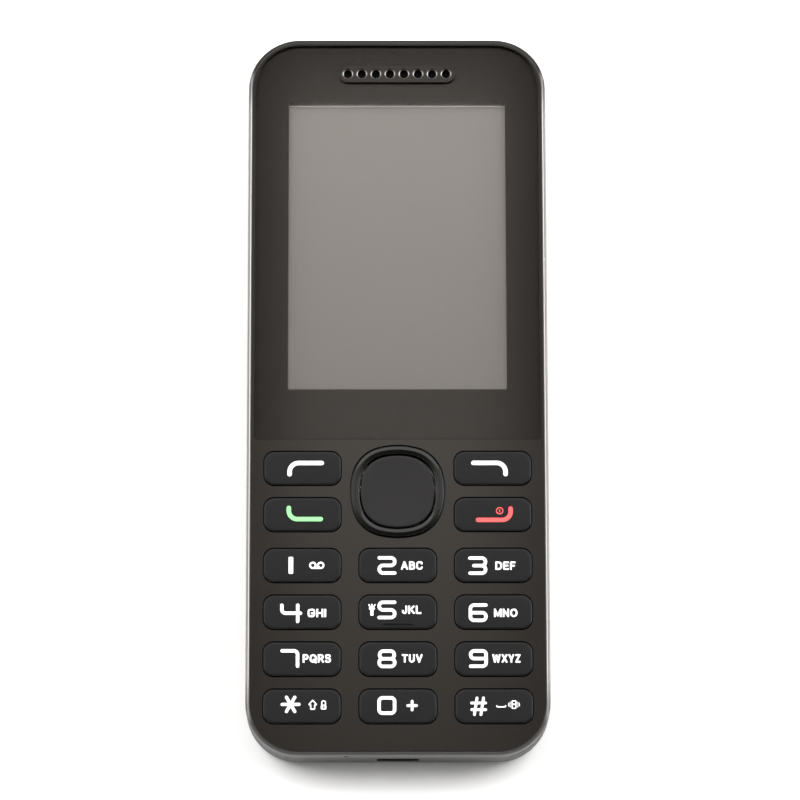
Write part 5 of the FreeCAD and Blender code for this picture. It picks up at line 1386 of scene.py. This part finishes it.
class PHONE_OT_contacts(bpy.types.Operator):
    """Make the gold contacts of the cards and the charging socket, and the polarity marks on the battery"""

    bl_idname = "phone.contacts"
    bl_label = "Contacts and marks"

    def execute(self, context):
        thickness = context.scene.phone_parts.pad_thickness
        for name, (node, foot, boxes, corner) in (
            ("sim_card_contacts", self.subscriber_card()),
            ("memory_card_contacts", self.memory_card()),
            ("charging_contacts", self.charging_socket()),
        ):
            level = (foot - thickness, foot + thickness / 3)
            piece(name, pads(boxes, level, corner), "gold", body=BODY_OF[node])
        self.battery_marks()
        return {"FINISHED"}

    def subscriber_card(self):
        """Two columns of four contacts on the side that faces the board."""
        low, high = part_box("sim_card")
        middle_x, middle_y = (low.x + high.x) / 2, high.y - 11 * MM
        boxes = [
            (span(middle_x + x * MM, 3.4 * MM), span(middle_y + y * MM, 2.2 * MM))
            for x in (-2.5, 2.5)
            for y in (-3.9, -1.3, 1.3, 3.9)
        ]
        return "sim_card", high.z, boxes, 0.3 * MM

    def memory_card(self):
        """Eight fingers side by side along the end that goes in first."""
        low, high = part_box("memory_card")
        along = (high.y - 4.0 * MM, high.y - 1.5 * MM)
        first = (low.x + high.x) / 2 - 3.7 * MM
        boxes = [(span(first + number * 1.1 * MM, 0.8 * MM), along) for number in range(8)]
        return "memory_card", high.z, boxes, 0.12 * MM

    def charging_socket(self):
        """Five strips along the tongue of the socket, on its back face."""
        low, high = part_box("micro_usb_socket")
        tongue = low.z + 2.35 * MM / 2 + 0.05 * MM
        along = (low.y + 0.75 * MM, high.y - 0.6 * MM)
        boxes = [(span(number * 0.65 * MM, 0.4 * MM), along) for number in (-2, -1, 0, 1, 2)]
        return "micro_usb_socket", tongue, boxes, 0.05 * MM

    def battery_marks(self):
        """A plus and a minus printed behind the terminals that they belong to."""
        low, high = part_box("battery")
        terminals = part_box("battery_terminals")
        level = (low.z - 0.01 * MM, low.z + 0.02 * MM)
        long, thin = 1.6 * MM, 0.3 * MM
        y = high.y - 3.2 * MM
        right, left = terminals[1].x - long / 2, terminals[0].x + long / 2
        bars = ((right, long, thin), (right, thin, long), (left, long, thin))
        boxes = [(span(x, wide), span(y, tall)) for x, wide, tall in bars]
        piece("battery_marks", pads(boxes, level, 0.05 * MM), "white_ink", body=BODY_OF["battery"])


# Finishes of the frame's own parts


class PHONE_OT_finishes(bpy.types.Operator):
    """Give every part of the frame the finish that its slot names"""

    bl_idname = "phone.finishes"
    bl_label = "Finishes"

    def execute(self, context):
        for name, node in NODES.items():
            node.material_slots[0].material = finish(SLOT_OF[name])
        return {"FINISHED"}


# Studio, in metres: each light's place and width. Only the panel's stops, which stand where they show on the
# front, are in millimetres


FLOOR_FLAT = 2.0
FLOOR_REACH = 3.4
FLOOR_WALL = 1.1
FLOOR_STEPS = 96
ROOM_ALONG = (
    (-1, 0.06), (-0.15, 0.12), (0.04, 0.7), (0.16, 1.7), (0.32, 1.5), (0.6, 1.1), (0.85, 0.6), (1, 0.3),
)
SIDE_LIGHT = ((1.0, 0.62, 1.4), (1.2, 1.2))
STRIP_LIGHT = ((1.3, 0.25, 0.24), (1.3, 0.24))
STRIP_SHARES = {-1: 0.70, 1: 2.20}
BACK_LIGHT = ((0.0, 1.15, 1.55), (2.0, 0.8))
PANEL_HEIGHT = 1.6
PANEL_ACROSS = (
    (-34, 0), (-26, 0.05), (-22.6, 0.18), (-18.5, 0.72), (-15, 1),
    (15, 1), (18.5, 0.72), (22.6, 0.18), (26, 0.05), (34, 0),
)
PANEL_ALONG = (
    (-80, 0), (-62, 0.46), (-50, 0.65), (-42, 0.75), (-25, 1.06), (-9, 1.36), (0, 1.32), (25, 1.5),
    (49, 1.78), (54, 1.4), (60, 0.4), (64, 0),
)


def sight(studio):
    """The direction from the point looked at to the camera: leaning by the tilt and swung by the turn."""
    across = sin(studio.turn)
    level = cos(studio.turn)
    return Vector((across, -level * sin(studio.tilt), level * cos(studio.tilt))).normalized()


def staged(name, points, faces, material):
    """An object of the studio, which isn't part of the phone."""
    mesh = bpy.data.meshes.new(name)
    mesh.from_pydata(points, [], faces)
    mesh.shade_smooth()
    mesh.materials.append(material)
    made = bpy.data.objects.new(name, mesh)
    bpy.context.scene.collection.objects.link(made)
    return made


class PHONE_OT_studio(bpy.types.Operator):
    """Make the floor, the lights and the camera"""

    bl_idname = "phone.studio"
    bl_label = "Studio"

    def execute(self, context):
        studio = context.scene.phone_studio
        context.scene.view_settings.view_transform = "Standard"
        self.floor(studio)
        self.room(context.scene, studio)
        self.panel(studio)
        for name, side in (("left", -1), ("right", 1)):
            fill = self.lamp("side_light_" + name, side, *SIDE_LIGHT, studio.side_light)
            fill.visible_glossy = False
            strip = studio.strip_light * STRIP_SHARES[side]
            self.lamp("strip_light_" + name, side, *STRIP_LIGHT, strip)
        self.lamp("back_light", 1, *BACK_LIGHT, studio.back_light)
        self.camera(context.scene, studio)
        return {"FINISHED"}

    def floor(self, studio):
        """A round floor whose rim rises into a wall, with the third power of the reach past the flat."""
        reach = np.concatenate([[0.01, 0.3, 0.8, 1.6], np.linspace(FLOOR_FLAT, FLOOR_REACH, 16)])
        height = FLOOR_WALL * ((reach - FLOOR_FLAT).clip(0) / (FLOOR_REACH - FLOOR_FLAT)) ** 3 - 0.02 * MM
        flat = circle_outline(1.0, (0, 0), FLOOR_STEPS)[0] * reach[:, None, None]
        rows = np.concatenate([flat, np.broadcast_to(height[:, None, None], flat[..., :1].shape)], -1)
        index = np.arange(len(reach) * FLOOR_STEPS).reshape(len(reach), FLOOR_STEPS)
        quads = np.stack([index[:-1], index[1:], np.roll(index[1:], -1, 1), np.roll(index[:-1], -1, 1)], -1)
        faces = quads.reshape(-1, 4).tolist() + [index[0].tolist()]
        shader = Shader(bpy.data.materials.new("floor_paper"))
        grain = shader.noise(0.8 * MM, 2)
        base = shader.mix(grain, scaled(studio.floor_tone, 0.985), studio.floor_tone)
        staged("floor", rows.reshape(-1, 3), faces, shader.surface(base, Roughness=0.9))

    def room(self, scene, studio):
        """Light from all round, as in a tent: brighter from the sides and dim from the keypad end.

        Its level follows the direction's part along Y from stop to stop, times its part along X plus 0.6.
        Near both sides, three times what its part along X has over 0.55 is added.
        """
        world = bpy.data.worlds.new("room")
        scene.world = world
        shader = Shader(world)
        direction = shader.node("TexCoord", output="Generated")
        along = shader.node("SeparateXYZ", sockets={0: direction}, output="Y")
        across = shader.node("SeparateXYZ", sockets={0: direction}, output="X").size()
        sides = (across - 0.55).most(0.0) * 3.0
        strength = (shader.ramp(along, ROOM_ALONG) * (across + 0.6) + sides) * studio.room
        light = shader.node("Background", sockets={"Color": (1.0, 0.985, 0.965, 1.0), "Strength": strength})
        shader.node("OutputWorld", sockets={"Surface": light})

    def panel(self, studio):
        """A soft-edged panel overhead, where the camera sees it mirrored in the front.

        The front mirrors a point of itself onto the point's place times one plus the panel's height over
        the camera's, less the camera's foot times that ratio. Its shine follows a row of stops across and
        one along, placed as they show on the front.
        """
        top = frame_box[1].z
        away = sight(studio)
        foot = Vector((studio.aim_x, studio.aim_y)) + away.xy * studio.distance
        ratio = PANEL_HEIGHT / (away.z * studio.distance)
        level = top + PANEL_HEIGHT
        across, along = (
            [((place * MM * (1 + ratio) - middle * ratio), shine) for place, shine in stops]
            for middle, stops in zip(foot, (PANEL_ACROSS, PANEL_ALONG))
        )
        left, right, low, high = across[0][0], across[-1][0], along[0][0], along[-1][0]
        points = [(left, low, level), (left, high, level), (right, high, level), (right, low, level)]
        shader = Shader(bpy.data.materials.new("panel_light"))
        shine = shader.ramp(shader.axis("X"), across) * shader.ramp(shader.axis("Y"), along)
        strength = shine * studio.panel_light
        light = shader.node("Emission", sockets={"Color": (1.0, 0.94, 0.87, 1.0), "Strength": strength})
        staged("overhead_panel", points, [(0, 1, 2, 3)], shader.end(light))

    def lamp(self, name, side, place, width, power):
        """A soft box that looks at the phone, from the right side or, mirrored, from the left."""
        place = Vector((side * place[0], *place[1:]))
        light = bpy.data.lights.new(name, "AREA")
        light.shape = "RECTANGLE"
        light.size, light.size_y = width
        light.energy = power
        made = bpy.data.objects.new(name, light)
        bpy.context.scene.collection.objects.link(made)
        made.location = place
        made.rotation_euler = (-place).to_track_quat("-Z", "Y").to_euler()
        return made

    def camera(self, scene, studio):
        """A camera that looks back along the line of sight, with its right side level but for the roll."""
        away = sight(studio)
        right = Vector((0, 1, 0)).cross(away).normalized()
        up = away.cross(right)
        turn = studio.roll
        axes = (right * cos(turn) + up * sin(turn), up * cos(turn) - right * sin(turn), away)
        view = bpy.data.cameras.new("camera")
        view.lens = studio.focus
        view.clip_start = 0.01
        made = bpy.data.objects.new("camera", view)
        scene.collection.objects.link(made)
        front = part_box("front_housing")[1].z
        place = Vector((studio.aim_x, studio.aim_y, front)) + away * studio.distance
        made.matrix_world = Matrix.Translation(place) @ Matrix(axes).transposed().to_4x4()
        scene.camera = made


# The add-on


class PHONE_PT_panel(bpy.types.Panel):
    """Sizes, colours and steps of the phone"""

    bl_idname = "PHONE_PT_panel"
    bl_label = "Keypad phone"
    bl_space_type = "VIEW_3D"
    bl_region_type = "UI"
    bl_category = "Phone"

    def draw(self, context):
        for step in STEPS:
            self.layout.operator(step.bl_idname)
        for group in GROUPS:
            values = getattr(context.scene, group)
            box = self.layout.box()
            for name in values.bl_rna.properties.keys():
                if name not in ("rna_type", "name"):
                    box.prop(values, name)


GROUPS = {
    "phone_studio": PhoneStudio,
    "phone_keypad": PhoneKeypad,
    "phone_colours": PhoneColours,
    "phone_parts": PhoneParts,
}
STEPS = (
    PHONE_OT_studio,
    PHONE_OT_finishes,
    PHONE_OT_keys,
    PHONE_OT_ring,
    PHONE_OT_legends,
    PHONE_OT_screen,
    PHONE_OT_earpiece,
    PHONE_OT_optics,
    PHONE_OT_screws,
    PHONE_OT_contacts,
)
CLASSES = (*GROUPS.values(), *STEPS, PHONE_PT_panel)


def register():
    for kind in CLASSES:
        bpy.utils.register_class(kind)
    for name, kind in GROUPS.items():
        setattr(bpy.types.Scene, name, PointerProperty(type=kind))


def unregister():
    for name in GROUPS:
        delattr(bpy.types.Scene, name)
    for kind in reversed(CLASSES):
        bpy.utils.unregister_class(kind)


def main():
    register()
    for step in STEPS:
        family, name = step.bl_idname.split(".")
        getattr(getattr(bpy.ops, family), name)()


if __name__ == "__main__":
    main()
